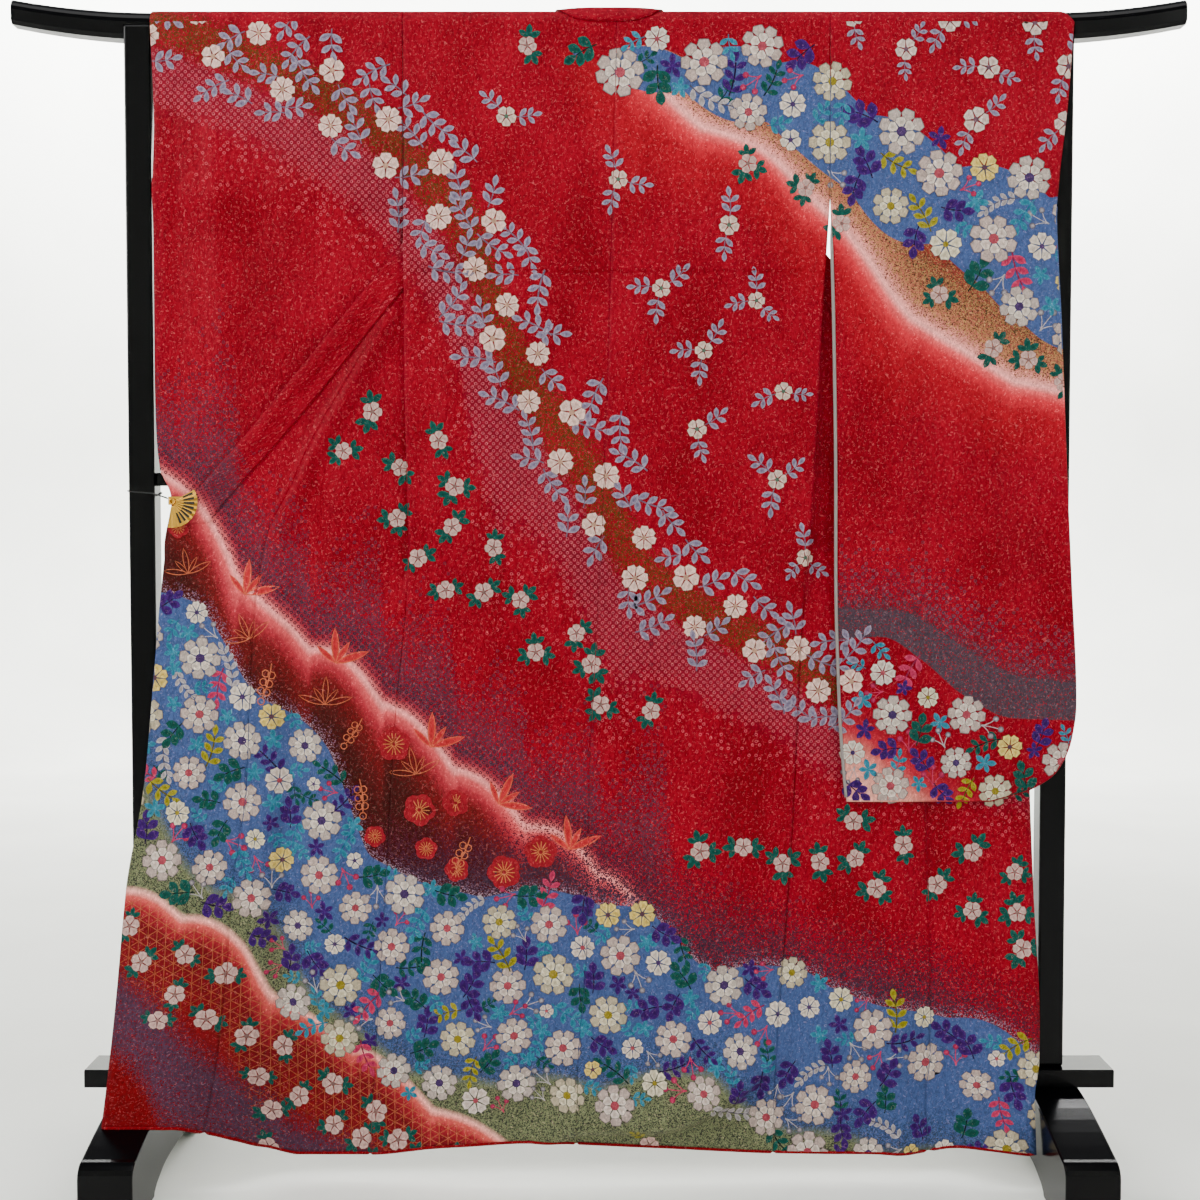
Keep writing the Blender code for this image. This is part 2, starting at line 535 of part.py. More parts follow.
def make_sleeve(name, rows, near, far, cuff, material):
    """A sleeve: one length of cloth folded over the bar, closed at its foot and outer edge."""
    left = rows is LEFT_SLEEVE
    hang = np.concatenate([
        levels(BAR_MIDDLE, WRIST_LEVEL, 6),
        levels(WRIST_LEVEL, 1.085, 4)[1:],
        [1.03, 1.008, 0.988, 0.970, 0.94],
        levels(0.88, 0.70, 2),
        levels(0.70, 0.551, 6, dense=0.5)[1:],
    ])
    t = np.linspace(0.0, 1.0, 7)
    inner = flow(hang, rows, "inner")[:, None]
    outer = flow(hang, rows, "outer")[:, None]
    pinch = ease((hang - WRIST_LEVEL - 0.005) / 0.04)[:, None]
    far_outer = outer + (cuff - outer) * pinch
    z = hang[:, None] + 0.0 * t
    front_x = inner + (outer - inner) * t
    rear_x = inner + (far_outer - inner) * t
    front = np.stack([front_x, flow(z, LAYERS, near), z], axis=-1)
    rear = np.stack([rear_x, flow(z, LAYERS, far), z], axis=-1)
    angle = np.linspace(-QUARTER, QUARTER, 7)[1:-1, None]
    share = (angle + QUARTER) / (2 * QUARTER)
    top_x = front_x[0] + (rear_x[0] - front_x[0]) * share
    top = over_bar(top_x, np.broadcast_to(angle, top_x.shape))
    points = np.concatenate([front[::-1], top, rear])
    extra = sleeve_rim(points, hang, len(t))
    return shell(name, points, material, extra=extra, flip=left)


def sleeve_rim(points, hang, columns):
    """The strip that closes a sleeve round its outer edge and along its foot."""
    total = len(points)
    index = np.arange(total * columns).reshape(total, columns)
    count = int(np.sum(hang <= WRIST_LEVEL + 1e-9))
    near = np.concatenate([index[:count, -1][::-1], index[0, :-1][::-1]])
    far = np.concatenate([index[total - count:, -1], index[-1, :-1][::-1]])
    flat = points.reshape(-1, 3)
    middle = (flat[near] + flat[far]) / 2
    path = middle[:, [0, 2]]
    tangent = np.gradient(path, axis=0)
    normal = np.stack([-tangent[:, 1], tangent[:, 0]], axis=-1)
    normal /= np.linalg.norm(normal, axis=-1, keepdims=True)
    centre = path.mean(axis=0)
    normal *= np.sign(np.sum(normal * (path - centre), axis=-1, keepdims=True))
    middle[:, [0, 2]] += SLEEVE_GAP * normal
    rim = len(flat) + np.arange(len(middle))
    quads = [
        np.stack([near[:-1], near[1:], rim[1:], rim[:-1]], axis=-1),
        np.stack([far[1:], far[:-1], rim[:-1], rim[1:]], axis=-1),
    ]
    return middle, np.concatenate(quads)


def block(name, low, high, material, bevel=0.0015, collection=None):
    """A straight bar of wood between two corners, with eased edges."""
    mesh = bpy.data.meshes.new(name)
    form = bmesh.new()
    bmesh.ops.create_cube(form, size=1.0)
    form.to_mesh(mesh)
    form.free()
    obj = add_object(name, mesh, material, collection)
    obj.location = [(a + b) / 2 for a, b in zip(low, high)]
    for vertex in mesh.vertices:
        vertex.co = [c * (b - a) for c, a, b in zip(vertex.co, low, high)]
    if bevel:
        eased = obj.modifiers.new("Eased edges", "BEVEL")
        eased.width = bevel
        eased.segments = 2
    return obj


def outline_solid(name, outline, half, axis_x, material, bevel=0.0):
    """A flat outline in the Y-Z plane, given the width of its piece along X."""
    curve = bpy.data.curves.new(name, "CURVE")
    curve.dimensions = "2D"
    curve.fill_mode = "BOTH"
    curve.extrude = half
    spline = curve.splines.new("POLY")
    spline.points.add(len(outline) - 1)
    spline.use_cyclic_u = True
    for point, (y, z) in zip(spline.points, outline):
        point.co = (y, z, 0.0, 1.0)
    flat = bpy.data.objects.new(name + "_outline", curve)
    PART.objects.link(flat)
    flat.rotation_euler = (math.pi / 2, 0.0, math.pi / 2)
    flat.location = (axis_x, 0.0, 0.0)
    bpy.context.view_layer.update()
    evaluated = flat.evaluated_get(bpy.context.evaluated_depsgraph_get())
    mesh = bpy.data.meshes.new_from_object(evaluated)
    form = bmesh.new()
    form.from_mesh(mesh)
    bmesh.ops.remove_doubles(form, verts=form.verts, dist=1e-6)
    bmesh.ops.recalc_face_normals(form, faces=form.faces)
    form.to_mesh(mesh)
    form.free()
    obj = add_object(name, mesh, material)
    obj.matrix_world = flat.matrix_world.copy()
    bpy.data.objects.remove(flat, do_unlink=True)
    if bevel:
        eased = obj.modifiers.new("Eased edges", "BEVEL")
        eased.width = bevel
        eased.segments = 2
        eased.limit_method = "ANGLE"
    return obj


def foot_outline():
    """Half of a foot's side: sole, arch, round toe and sloping top, then its mirror image."""
    slope = np.linspace(BOARD_DEPTH, FOOT_SHOULDER, 7)
    top = FOOT_TOP - FOOT_DROP * ((slope - BOARD_DEPTH) / (FOOT_SHOULDER - BOARD_DEPTH)) ** 1.35
    turn = np.linspace(0.0, math.pi / 2, 6)[1:]
    toe_y = FOOT_SHOULDER + (FOOT_REACH - FOOT_SHOULDER) * np.sin(turn)
    toe_z = TOE_TOP + (top[-1] - TOE_TOP) * np.cos(turn)
    round_arch = np.linspace(0.0, math.pi / 2, 7)
    arch_y = ARCH_REACH * np.cos(round_arch)
    arch_z = ARCH_RISE * np.sin(round_arch)
    half_y = np.concatenate([slope, toe_y, [FOOT_REACH], arch_y])
    half_z = np.concatenate([top, toe_z, [0.0], arch_z])
    near = list(zip(-half_y[:-1], half_z[:-1]))
    return list(zip(half_y, half_z)) + near[::-1]


def make_bar(name, material):
    """The top bar: round above, square below, its ends bent up and drawn in a little."""
    stations = np.concatenate([
        np.linspace(-BAR_HALF, -BAR_BEND, 9),
        np.linspace(-BAR_BEND, BAR_BEND, 7)[1:-1],
        np.linspace(BAR_BEND, BAR_HALF, 9),
    ])
    bend = np.clip((np.abs(stations) - BAR_BEND) / (BAR_HALF - BAR_BEND), 0.0, 1.0)
    angle = np.linspace(0.0, math.pi, 11)
    corner = 0.006
    y = np.concatenate([BAR_DEPTH * np.cos(angle), [-BAR_DEPTH, -BAR_DEPTH + corner],
                        [BAR_DEPTH - corner, BAR_DEPTH]])
    z = np.concatenate([BAR_DEPTH * np.sin(angle) + BAR_MIDDLE,
                        [BAR_BOTTOM + corner, BAR_BOTTOM, BAR_BOTTOM, BAR_BOTTOM + corner]])
    slim = (1.0 - 0.12 * bend)[:, None]
    middle = (BAR_MIDDLE + BAR_BOTTOM) / 2
    points = np.stack([
        np.broadcast_to(stations[:, None], (len(stations), len(y))),
        y * slim,
        middle + (z - middle) * slim + BAR_TIP_RISE * (bend ** 2)[:, None],
    ], axis=-1)
    rows, cols = points.shape[:2]
    index = np.arange(rows * cols).reshape(rows, cols)
    turned = np.roll(index, -1, axis=1)
    quads = np.stack([index[:-1], turned[:-1], turned[1:], index[1:]], axis=-1).reshape(-1, 4)
    mesh = bpy.data.meshes.new(name)
    ends = [index[0][::-1].tolist(), index[-1].tolist()]
    mesh.from_pydata(points.reshape(-1, 3).tolist(), [], quads.tolist() + ends)
    form = bmesh.new()
    form.from_mesh(mesh)
    bmesh.ops.recalc_face_normals(form, faces=form.faces)
    form.to_mesh(mesh)
    form.free()
    bar = add_object(name, mesh, material)
    for side in (-1, 1):
        reach = POST_HALF + SEAM
        low = (side * POST_X - reach, -0.03, BAR_BOTTOM - 0.02)
        high = (side * POST_X + reach, 0.03, POST_TOP + SEAM)
        cutter = block(f"notch_{side}", low, high, None, bevel=0.0, collection=CUTTERS)
        cutter.hide_render = True
        cutter.display_type = "WIRE"
        notch = bar.modifiers.new("Notch", "BOOLEAN")
        notch.object = cutter
        notch.operation = "DIFFERENCE"
    return bar


def make_fan(name, material):
    """The clip's folding fan: a pleated plate between its two end sticks."""
    steps = 2 * FAN_PLEATS
    angle = FAN_FROM + (FAN_TO - FAN_FROM) * np.linspace(0.0, 1.0, steps + 1)
    radius = np.linspace(0.006, FAN_RADIUS, 5)[:, None]
    pleat = np.where(np.arange(steps + 1) % 2, 0.0007, -0.0007) * radius / FAN_RADIUS
    points = np.stack([
        FAN_PIVOT[0] + radius * np.cos(angle),
        FAN_FACE - 0.0010 + pleat,
        FAN_PIVOT[1] + radius * np.sin(angle),
    ], axis=-1)
    fan = shell(name, points, material)
    fan.modifiers["Wall"].thickness = FAN_PLATE
    return fan


def make_jaw(name, material):
    """The clip's spring jaw: a strip from behind the fan round the cloth's edge to the rear."""
    thick = 0.0006
    x0, x1 = FAN_PIVOT[0] - 0.0063, FAN_PIVOT[0] + 0.018
    front, rear = FAN_FACE + 0.0008, JAW_FACE
    path = [(x1, front), (x0 + 0.004, front), (x0 + 0.001, front + 0.0015), (x0, front + 0.004),
            (x0, rear - 0.004), (x0 + 0.001, rear - 0.0015), (x0 + 0.004, rear), (x1, rear)]
    path = np.array(path)
    heights = np.linspace(FAN_PIVOT[1] - 0.004, FAN_PIVOT[1] + 0.008, 3)
    points = np.stack([
        np.broadcast_to(path[:, 0], (3, len(path))),
        np.broadcast_to(path[:, 1], (3, len(path))),
        np.broadcast_to(heights[:, None], (3, len(path))),
    ], axis=-1)
    jaw = shell(name, points, material)
    jaw.modifiers["Wall"].thickness = 2 * thick
    return jaw


def make_tie(name, material):
    """The cord that holds the clip: from its head round the post and back."""
    off = POST_DEPTH + TIE_RADIUS + SEAM
    wide = POST_HALF + TIE_RADIUS + SEAM
    ease_in = 0.003
    z = FAN_PIVOT[1] + 0.0115
    loop = [
        (wide - ease_in, -off, 0.001), (-wide + ease_in, -off, 0.004),
        (-wide + 0.001, -off + 0.001, 0.005), (-wide, -off + ease_in, 0.005),
        (-wide, off - ease_in, 0.006), (-wide + 0.001, off - 0.001, 0.006),
        (-wide + ease_in, off, 0.006), (wide - ease_in, off, 0.004),
        (wide - 0.001, off - 0.001, 0.003), (wide, off - ease_in, 0.003), (wide, 0.002, -0.001),
    ]
    points = [(FAN_PIVOT[0] - 0.0085, -0.0205, z - 0.005)]
    points += [(-POST_X + x, y, z + rise) for x, y, rise in loop]
    points += [(FAN_PIVOT[0] - 0.0090, -0.0150, z - 0.006)]
    curve = bpy.data.curves.new(name, "CURVE")
    curve.dimensions = "3D"
    curve.bevel_depth = TIE_RADIUS
    curve.bevel_resolution = 1
    curve.use_fill_caps = True
    spline = curve.splines.new("POLY")
    spline.points.add(len(points) - 1)
    for point, place in zip(spline.points, points):
        point.co = (*place, 1.0)
    obj = bpy.data.objects.new(name, curve)
    PART.objects.link(obj)
    curve.materials.append(material)
    return obj


for old in list(bpy.data.objects):
    bpy.data.objects.remove(old, do_unlink=True)

PART = bpy.data.collections.new("furisode_on_kimono_stand")
CUTTERS = bpy.data.collections.new("cutters")
bpy.context.scene.collection.children.link(PART)
bpy.context.scene.collection.children.link(CUTTERS)

silk = finish("figured red silk", (0.45, 0.004, 0.012), 0.55)
silk_blue = finish("silk, blue field", (0.14, 0.22, 0.45), 0.55)
lacquer = finish("black lacquer", (0.004, 0.004, 0.005), 0.12)
brass = finish("gilt brass", (0.80, 0.56, 0.16), 0.25, metallic=1.0)
braid = finish("black braided cord", (0.006, 0.005, 0.008), 0.7)

make_back("back_left", LEFT_FRONT, silk)
make_back("back_right", RIGHT_FRONT, silk)
make_front("front_left", LEFT_FRONT, silk_blue)
make_front("front_right", RIGHT_FRONT, silk_blue)
make_okumi("okumi_left", LEFT_FRONT, silk)
make_okumi("okumi_right", RIGHT_FRONT, silk)
make_collar("collar", silk)
make_sleeve("sleeve_left", LEFT_SLEEVE, "left_near", "left_far", LEFT_CUFF, silk)
make_sleeve("sleeve_right", RIGHT_SLEEVE, "right_near", "right_far", RIGHT_CUFF, silk)

make_bar("top_bar", lacquer)
for side, tag in ((-1, "left"), (1, "right")):
    x = side * POST_X
    block(f"post_{tag}", (x - POST_HALF, -POST_DEPTH, BOARD_HIGH + SEAM),
          (x + POST_HALF, POST_DEPTH, POST_TOP), lacquer, bevel=0.003)
    outline_solid(f"foot_{tag}", foot_outline(), FOOT_HALF, x, lacquer, bevel=0.002)
rail_end = POST_X - POST_HALF - SEAM
block("mid_rail", (-rail_end, -RAIL_DEPTH, RAIL_LOW), (rail_end, RAIL_DEPTH, RAIL_HIGH), lacquer)
block("low_board", (-BOARD_HALF, -BOARD_DEPTH, BOARD_LOW), (BOARD_HALF, BOARD_DEPTH, BOARD_HIGH), lacquer)

make_fan("clip_fan", brass)
make_jaw("clip_jaw", brass)
make_tie("clip_tie", braid)
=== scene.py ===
"""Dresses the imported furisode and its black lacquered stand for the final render.

The rigid stand keeps its solids and gets its lacquer. Every piece of cloth is a thin
shell on its solid's form, worked out from the same tables, with finer creases, figured
silk and dyed flowers. Metres, +Z up, -Y towards the viewer, who sees the back.
"""

from __future__ import annotations

import json
import logging
import math
from dataclasses import dataclass, field
from enum import Enum
from typing import Callable, NamedTuple, Sequence

import bpy
import numpy as np
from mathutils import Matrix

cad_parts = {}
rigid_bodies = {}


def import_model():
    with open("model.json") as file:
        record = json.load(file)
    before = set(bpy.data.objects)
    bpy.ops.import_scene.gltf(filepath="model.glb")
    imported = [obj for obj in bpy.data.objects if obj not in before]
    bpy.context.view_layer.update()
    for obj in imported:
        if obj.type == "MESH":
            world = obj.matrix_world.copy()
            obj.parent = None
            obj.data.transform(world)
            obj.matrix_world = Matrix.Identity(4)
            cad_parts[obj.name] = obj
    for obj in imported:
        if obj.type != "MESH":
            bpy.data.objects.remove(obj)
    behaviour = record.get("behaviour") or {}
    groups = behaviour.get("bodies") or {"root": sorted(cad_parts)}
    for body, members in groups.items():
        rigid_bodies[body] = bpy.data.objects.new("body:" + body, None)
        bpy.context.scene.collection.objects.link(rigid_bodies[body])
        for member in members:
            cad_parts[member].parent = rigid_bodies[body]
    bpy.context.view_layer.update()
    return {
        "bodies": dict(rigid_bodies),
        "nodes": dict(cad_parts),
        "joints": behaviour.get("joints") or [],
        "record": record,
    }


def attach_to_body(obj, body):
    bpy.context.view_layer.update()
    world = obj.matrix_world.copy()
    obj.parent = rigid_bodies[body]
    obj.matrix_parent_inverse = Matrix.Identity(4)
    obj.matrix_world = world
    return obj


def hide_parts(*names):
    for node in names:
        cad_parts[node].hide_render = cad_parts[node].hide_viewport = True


LOG = logging.getLogger("furisode")
Array = np.ndarray


# The garment's tables

class Side(NamedTuple):
    """One front at one height: its side seam, free edge, tuck and overlap panel's width."""

    z: float
    hinge: float
    edge: float
    tuck: float
    okumi: float


class Middle(NamedTuple):
    """Where the back's centre seam hangs at one height."""

    z: float
    x: float


class Layers(NamedTuple):
    """How far in front of the bar's centre each layer of cloth hangs at one height."""

    z: float
    back: float
    left_front: float
    right_front: float
    left_near: float
    left_far: float
    right_near: float
    right_far: float


class Hem(NamedTuple):
    """Height of the hem at one place across."""

    x: float
    z: float


class Break(NamedTuple):
    """The crest of the sagging fold at the back's foot, and how far it stands out."""

    x: float
    z: float
    rise: float


class Swell(NamedTuple):
    """Where a foot of the stand pushes the cloth out."""

    start: float
    end: float
    lowest: float
    highest: float
    rise: float
    power: float


class Crease(NamedTuple):
    """A soft ridge, or a trough where its rise is below zero, from its top to its foot."""

    x_top: float
    z_top: float
    x_foot: float
    z_foot: float
    width: float
    rise: float


class SleeveEdge(NamedTuple):
    """A sleeve's inner and outer edge at one height."""

    z: float
    inner: float
    outer: float


LEFT_FRONT = (
    Side(1.675, -0.2825, -0.012, 0.2420, 0.0535),
    Side(1.560, -0.2825, -0.112, 0.2140, 0.0535),
    Side(1.433, -0.2825, -0.222, 0.1730, 0.0535),
    Side(1.360, -0.2825, -0.283, 0.1460, 0.0535),
    Side(1.310, -0.2820, -0.324, 0.1270, 0.0540),
    Side(1.160, -0.2815, -0.447, 0.0730, 0.079),
    Side(1.080, -0.2800, -0.514, 0.0440, 0.100),
    Side(1.001, -0.2780, -0.585, 0.0170, 0.134),
    Side(0.955, -0.2770, -0.621, 0.0040, 0.146),
    Side(0.911, -0.2765, -0.633, 0.0015, 0.144),
    Side(0.837, -0.2800, -0.640, 0.0015, 0.141),
    Side(0.697, -0.2940, -0.653, 0.0015, 0.145),
    Side(0.563, -0.3040, -0.666, 0.0015, 0.150),
    Side(0.418, -0.3120, -0.686, 0.0015, 0.152),
    Side(0.240, -0.3230, -0.691, 0.0015, 0.148),
    Side(0.040, -0.3360, -0.698, 0.0015, 0.138),
)
RIGHT_FRONT = (
    Side(1.675, 0.3330, 0.042, 0.2620, 0.0535),
    Side(1.560, 0.3330, 0.156, 0.2200, 0.0535),
    Side(1.433, 0.3330, 0.256, 0.1780, 0.0535),
    Side(1.360, 0.3290, 0.315, 0.1490, 0.0535),
    Side(1.310, 0.3255, 0.355, 0.1310, 0.0540),
    Side(1.160, 0.3180, 0.474, 0.0790, 0.079),
    Side(1.080, 0.3150, 0.538, 0.0500, 0.100),
    Side(1.001, 0.3110, 0.600, 0.0190, 0.134),
    Side(0.955, 0.3080, 0.613, 0.0060, 0.146),
    Side(0.911, 0.3040, 0.616, 0.0030, 0.146),
    Side(0.837, 0.2970, 0.619, 0.0015, 0.147),
    Side(0.697, 0.2900, 0.625, 0.0015, 0.150),
    Side(0.550, 0.2840, 0.631, 0.0015, 0.152),
    Side(0.400, 0.2750, 0.637, 0.0015, 0.153),
    Side(0.270, 0.2650, 0.640, 0.0015, 0.153),
    Side(0.175, 0.2580, 0.636, 0.0015, 0.150),
    Side(0.120, 0.2560, 0.6270, 0.0015, 0.146),
    Side(0.040, 0.2550, 0.6255, 0.0015, 0.142),
)
BACK_SEAM = (
    Middle(1.675, 0.026),
    Middle(1.132, 0.012),
    Middle(0.873, 0.001),
    Middle(0.624, -0.012),
    Middle(0.308, -0.019),
    Middle(0.173, -0.030),
    Middle(0.040, -0.033),
)
LAYERS = (
    Layers(1.675, -0.0195, 0.0195, 0.0195, -0.0195, 0.0195, -0.0195, 0.0195),
    Layers(1.650, -0.0195, 0.0195, 0.0195, -0.0195, 0.0195, -0.0195, 0.0195),
    Layers(1.560, -0.0215, 0.0065, -0.0010, -0.0215, 0.0065, -0.0215, -0.0010),
    Layers(1.470, -0.0245, -0.0075, -0.0205, -0.0245, -0.0075, -0.0245, -0.0205),
    Layers(1.433, -0.0257, -0.0160, -0.0218, -0.0250, -0.0120, -0.0259, -0.0218),
    Layers(1.400, -0.0265, -0.0225, -0.0228, -0.0190, -0.0120, -0.0270, -0.0230),
    Layers(1.360, -0.0277, -0.0262, -0.0250, -0.0157, -0.0120, -0.0310, -0.0270),
    Layers(1.340, -0.0280, -0.0265, -0.0265, -0.0155, -0.0118, -0.0330, -0.0290),
    Layers(1.250, -0.0285, -0.0270, -0.0270, -0.0155, -0.0115, -0.0350, -0.0310),
    Layers(0.550, -0.0285, -0.0270, -0.0270, -0.0155, -0.0115, -0.0355, -0.0315),
    Layers(0.170, -0.0385, -0.0370, -0.0370, -0.0155, -0.0115, -0.0355, -0.0315),
    Layers(0.020, -0.0385, -0.0370, -0.0370, -0.0155, -0.0115, -0.0355, -0.0315),
)
HEM = (
    Hem(-0.720, 0.1065),
    Hem(-0.629, 0.1065),
    Hem(-0.600, 0.1050),
    Hem(-0.570, 0.0950),
    Hem(-0.520, 0.0690),
    Hem(-0.494, 0.0510),
    Hem(-0.440, 0.0310),
    Hem(-0.336, 0.0310),
    Hem(-0.233, 0.0410),
    Hem(-0.120, 0.0480),
    Hem(0.082, 0.0410),
    Hem(0.295, 0.0320),
    Hem(0.441, 0.0310),
    Hem(0.585, 0.0520),
    Hem(0.650, 0.0530),
)
HEM_BREAK = (
    Break(-0.100, 0.048, 0.000),
    Break(-0.022, 0.075, 0.020),
    Break(0.081, 0.077, 0.024),
    Break(0.193, 0.118, 0.022),
    Break(0.244, 0.160, 0.010),
    Break(0.290, 0.185, 0.000),
)
SWELLS = (
    Swell(-0.45, -0.62, 0.105, 0.62, 0.1035, 1.5),
    Swell(0.50, 0.625, 0.053, 0.42, 0.0620, 1.4),
)
CREASES = (
    Crease(0.431, 0.540, 0.442, -0.10, 0.022, 0.006),
    Crease(-0.508, 0.330, -0.526, -0.08, 0.022, 0.006),
    Crease(-0.500, 0.930, -0.518, 0.560, 0.034, 0.007),
    Crease(-0.420, 0.900, -0.480, 0.640, 0.036, 0.005),
    Crease(0.120, 0.620, 0.150, 0.020, 0.050, 0.006),
    Crease(-0.150, 0.560, -0.180, -0.05, 0.055, 0.006),
    Crease(0.550, 0.480, 0.560, -0.05, 0.030, 0.006),
)
LEFT_SLEEVE = (
    SleeveEdge(1.675, -0.2828, -0.6465),
    SleeveEdge(1.521, -0.2828, -0.6410),
    SleeveEdge(1.433, -0.2830, -0.6435),
    SleeveEdge(1.162, -0.2890, -0.6440),
    SleeveEdge(1.085, -0.2890, -0.6425),
    SleeveEdge(1.029, -0.2890, -0.6370),
    SleeveEdge(1.006, -0.2890, -0.6270),
    SleeveEdge(0.988, -0.2890, -0.6210),
    SleeveEdge(0.970, -0.2890, -0.6240),
    SleeveEdge(0.917, -0.2900, -0.6330),
    SleeveEdge(0.760, -0.2930, -0.6310),
    SleeveEdge(0.660, -0.2960, -0.6260),
    SleeveEdge(0.605, -0.2980, -0.6100),
    SleeveEdge(0.570, -0.2990, -0.5800),
    SleeveEdge(0.551, -0.3000, -0.5200),
)
RIGHT_SLEEVE = (
    SleeveEdge(1.675, 0.3333, 0.6840),
    SleeveEdge(1.564, 0.3333, 0.6760),
    SleeveEdge(1.440, 0.3333, 0.6620),
    SleeveEdge(1.389, 0.3345, 0.6580),
    SleeveEdge(1.231, 0.3390, 0.6650),
    SleeveEdge(1.022, 0.3430, 0.6750),
    SleeveEdge(0.873, 0.3440, 0.6830),
    SleeveEdge(0.689, 0.3500, 0.6920),
    SleeveEdge(0.641, 0.3530, 0.6860),
    SleeveEdge(0.595, 0.3570, 0.6660),
    SleeveEdge(0.568, 0.3595, 0.6280),
    SleeveEdge(0.551, 0.3610, 0.5700),
)
# Finer creases than the solids have, placed one by one: the slack of lined silk on a bar.
FINE_CREASES = (
    Crease(-0.240, 1.640, -0.215, 1.330, 0.016, 0.0016),
    Crease(-0.130, 1.600, -0.120, 1.350, 0.020, -0.0014),
    Crease(0.150, 1.650, 0.175, 1.420, 0.018, 0.0015),
    Crease(0.240, 1.610, 0.262, 1.340, 0.015, 0.0016),
    Crease(-0.200, 1.300, -0.235, 0.900, 0.022, 0.0020),
    Crease(-0.090, 1.270, -0.110, 0.760, 0.028, -0.0018),
    Crease(0.090, 1.290, 0.070, 0.900, 0.024, 0.0018),
    Crease(0.215, 1.250, 0.235, 0.700, 0.026, 0.0020),
    Crease(-0.240, 0.800, -0.262, 0.180, 0.026, 0.0030),
    Crease(0.010, 0.700, 0.030, 0.110, 0.030, 0.0026),
    Crease(0.200, 0.620, 0.222, 0.200, 0.024, -0.0028),
    Crease(0.340, 0.560, 0.352, 0.050, 0.022, 0.0032),
    Crease(0.480, 0.520, 0.500, 0.060, 0.020, -0.0030),
    Crease(-0.380, 0.760, -0.400, 0.120, 0.024, 0.0034),
    Crease(-0.455, 0.620, -0.470, 0.100, 0.020, -0.0030),
    Crease(-0.590, 0.840, -0.610, 0.300, 0.020, 0.0030),
    Crease(-0.462, 0.960, -0.500, 0.240, 0.015, 0.0038),
    Crease(-0.436, 0.900, -0.468, 0.300, 0.013, -0.0026),
    Crease(-0.350, 1.180, -0.400, 0.820, 0.016, 0.0022),
)
SLEEVE_CREASES = (
    Crease(-0.560, 1.600, -0.545, 1.150, 0.016, 0.0035),
    Crease(-0.610, 1.560, -0.612, 1.060, 0.014, -0.0022),
    Crease(-0.460, 1.640, -0.500, 1.300, 0.022, -0.0022),
    Crease(-0.400, 1.650, -0.410, 1.420, 0.018, 0.0020),
    Crease(-0.330, 1.660, -0.335, 1.450, 0.014, 0.0018),
    Crease(-0.540, 1.160, -0.600, 1.090, 0.010, 0.0020),
    Crease(-0.520, 1.120, -0.590, 1.040, 0.009, -0.0018),
    Crease(0.400, 1.640, 0.392, 1.250, 0.020, 0.0024),
    Crease(0.470, 1.620, 0.480, 1.050, 0.026, -0.0022),
    Crease(0.560, 1.650, 0.548, 1.200, 0.020, 0.0026),
    Crease(0.625, 1.600, 0.618, 1.280, 0.014, 0.0024),
    Crease(0.430, 1.150, 0.452, 0.640, 0.024, 0.0024),
    Crease(0.560, 1.100, 0.590, 0.620, 0.028, 0.0028),
    Crease(0.640, 1.000, 0.650, 0.700, 0.018, -0.0022),
)


class Bedding(NamedTuple):
    """One row of a dyed band's edge: how high it runs at one place across."""

    x: float
    z: float


OVERLAP_CUT = (0.15, 1.30)      # width and length of an overlap panel, metres
SLEEVE_CUT = (0.35, 2.30)       # of a sleeve, all round over the shoulder line: both are cut alike
BEYOND = 0.9        # the distance to a band that doesn't reach a piece of cloth
WAVES = ("wave_top", "wave_low", "wave_glow")       # the bands of the right sleeve alone
SKIES = ("sky", "sky_top", "sky_low", "sky_glow")   # those that stay off the fronts and the collar


# Small tools

def smooth_step(t: Array | float) -> Array:
    """The cubic 3t^2 - 2t^3 between 0 and 1.

    Args:
        t: Places, held between 0 and 1.

    Returns:
        Their smooth steps.
    """
    t = np.clip(t, 0.0, 1.0)
    return t * t * (3.0 - 2.0 * t)


def table_curve(value: Array | float, rows: Sequence[NamedTuple], column: str, key: str = "z") -> Array:
    """Cubic pieces through one column of a table, with slopes that never overshoot a row.

    Args:
        value: Places along the key column.
        rows: The table.
        column: The column to read.
        key: The column that gives the place.

    Returns:
        The column's value at each place.
    """
    ordered = sorted(rows, key=lambda row: getattr(row, key))
    at = np.array([getattr(row, key) for row in ordered])
    v = np.array([getattr(row, column) for row in ordered])
    gap = np.diff(at)
    rise = np.diff(v) / gap
    slope = np.concatenate([rise[:1], np.zeros(len(rise) - 1), rise[-1:]])
    both = rise[:-1] * rise[1:] > 0
    slope[1:-1][both] = 2.0 / (1.0 / rise[:-1][both] + 1.0 / rise[1:][both])
    value = np.clip(np.asarray(value, float), at[0], at[-1])
    i = np.clip(np.searchsorted(at, value, side="right") - 1, 0, len(gap) - 1)
    t = (value - at[i]) / gap[i]
    start = v[i] * (1 + 2 * t) * (1 - t) ** 2 + slope[i] * gap[i] * t * (1 - t) ** 2
    end = v[i + 1] * t * t * (3 - 2 * t) + slope[i + 1] * gap[i] * t * t * (t - 1)
    return start + end


def linear(colour: str) -> tuple[float, float, float, float]:
    """Turns an sRGB hex colour into linear light.

    Args:
        colour: Six hex digits after a hash sign.

    Returns:
        Red, green, blue and an alpha of 1.
    """
    parts = [int(colour[i:i + 2], 16) / 255.0 for i in (1, 3, 5)]
    return (*(p / 12.92 if p <= 0.04045 else ((p + 0.055) / 1.055) ** 2.4 for p in parts), 1.0)


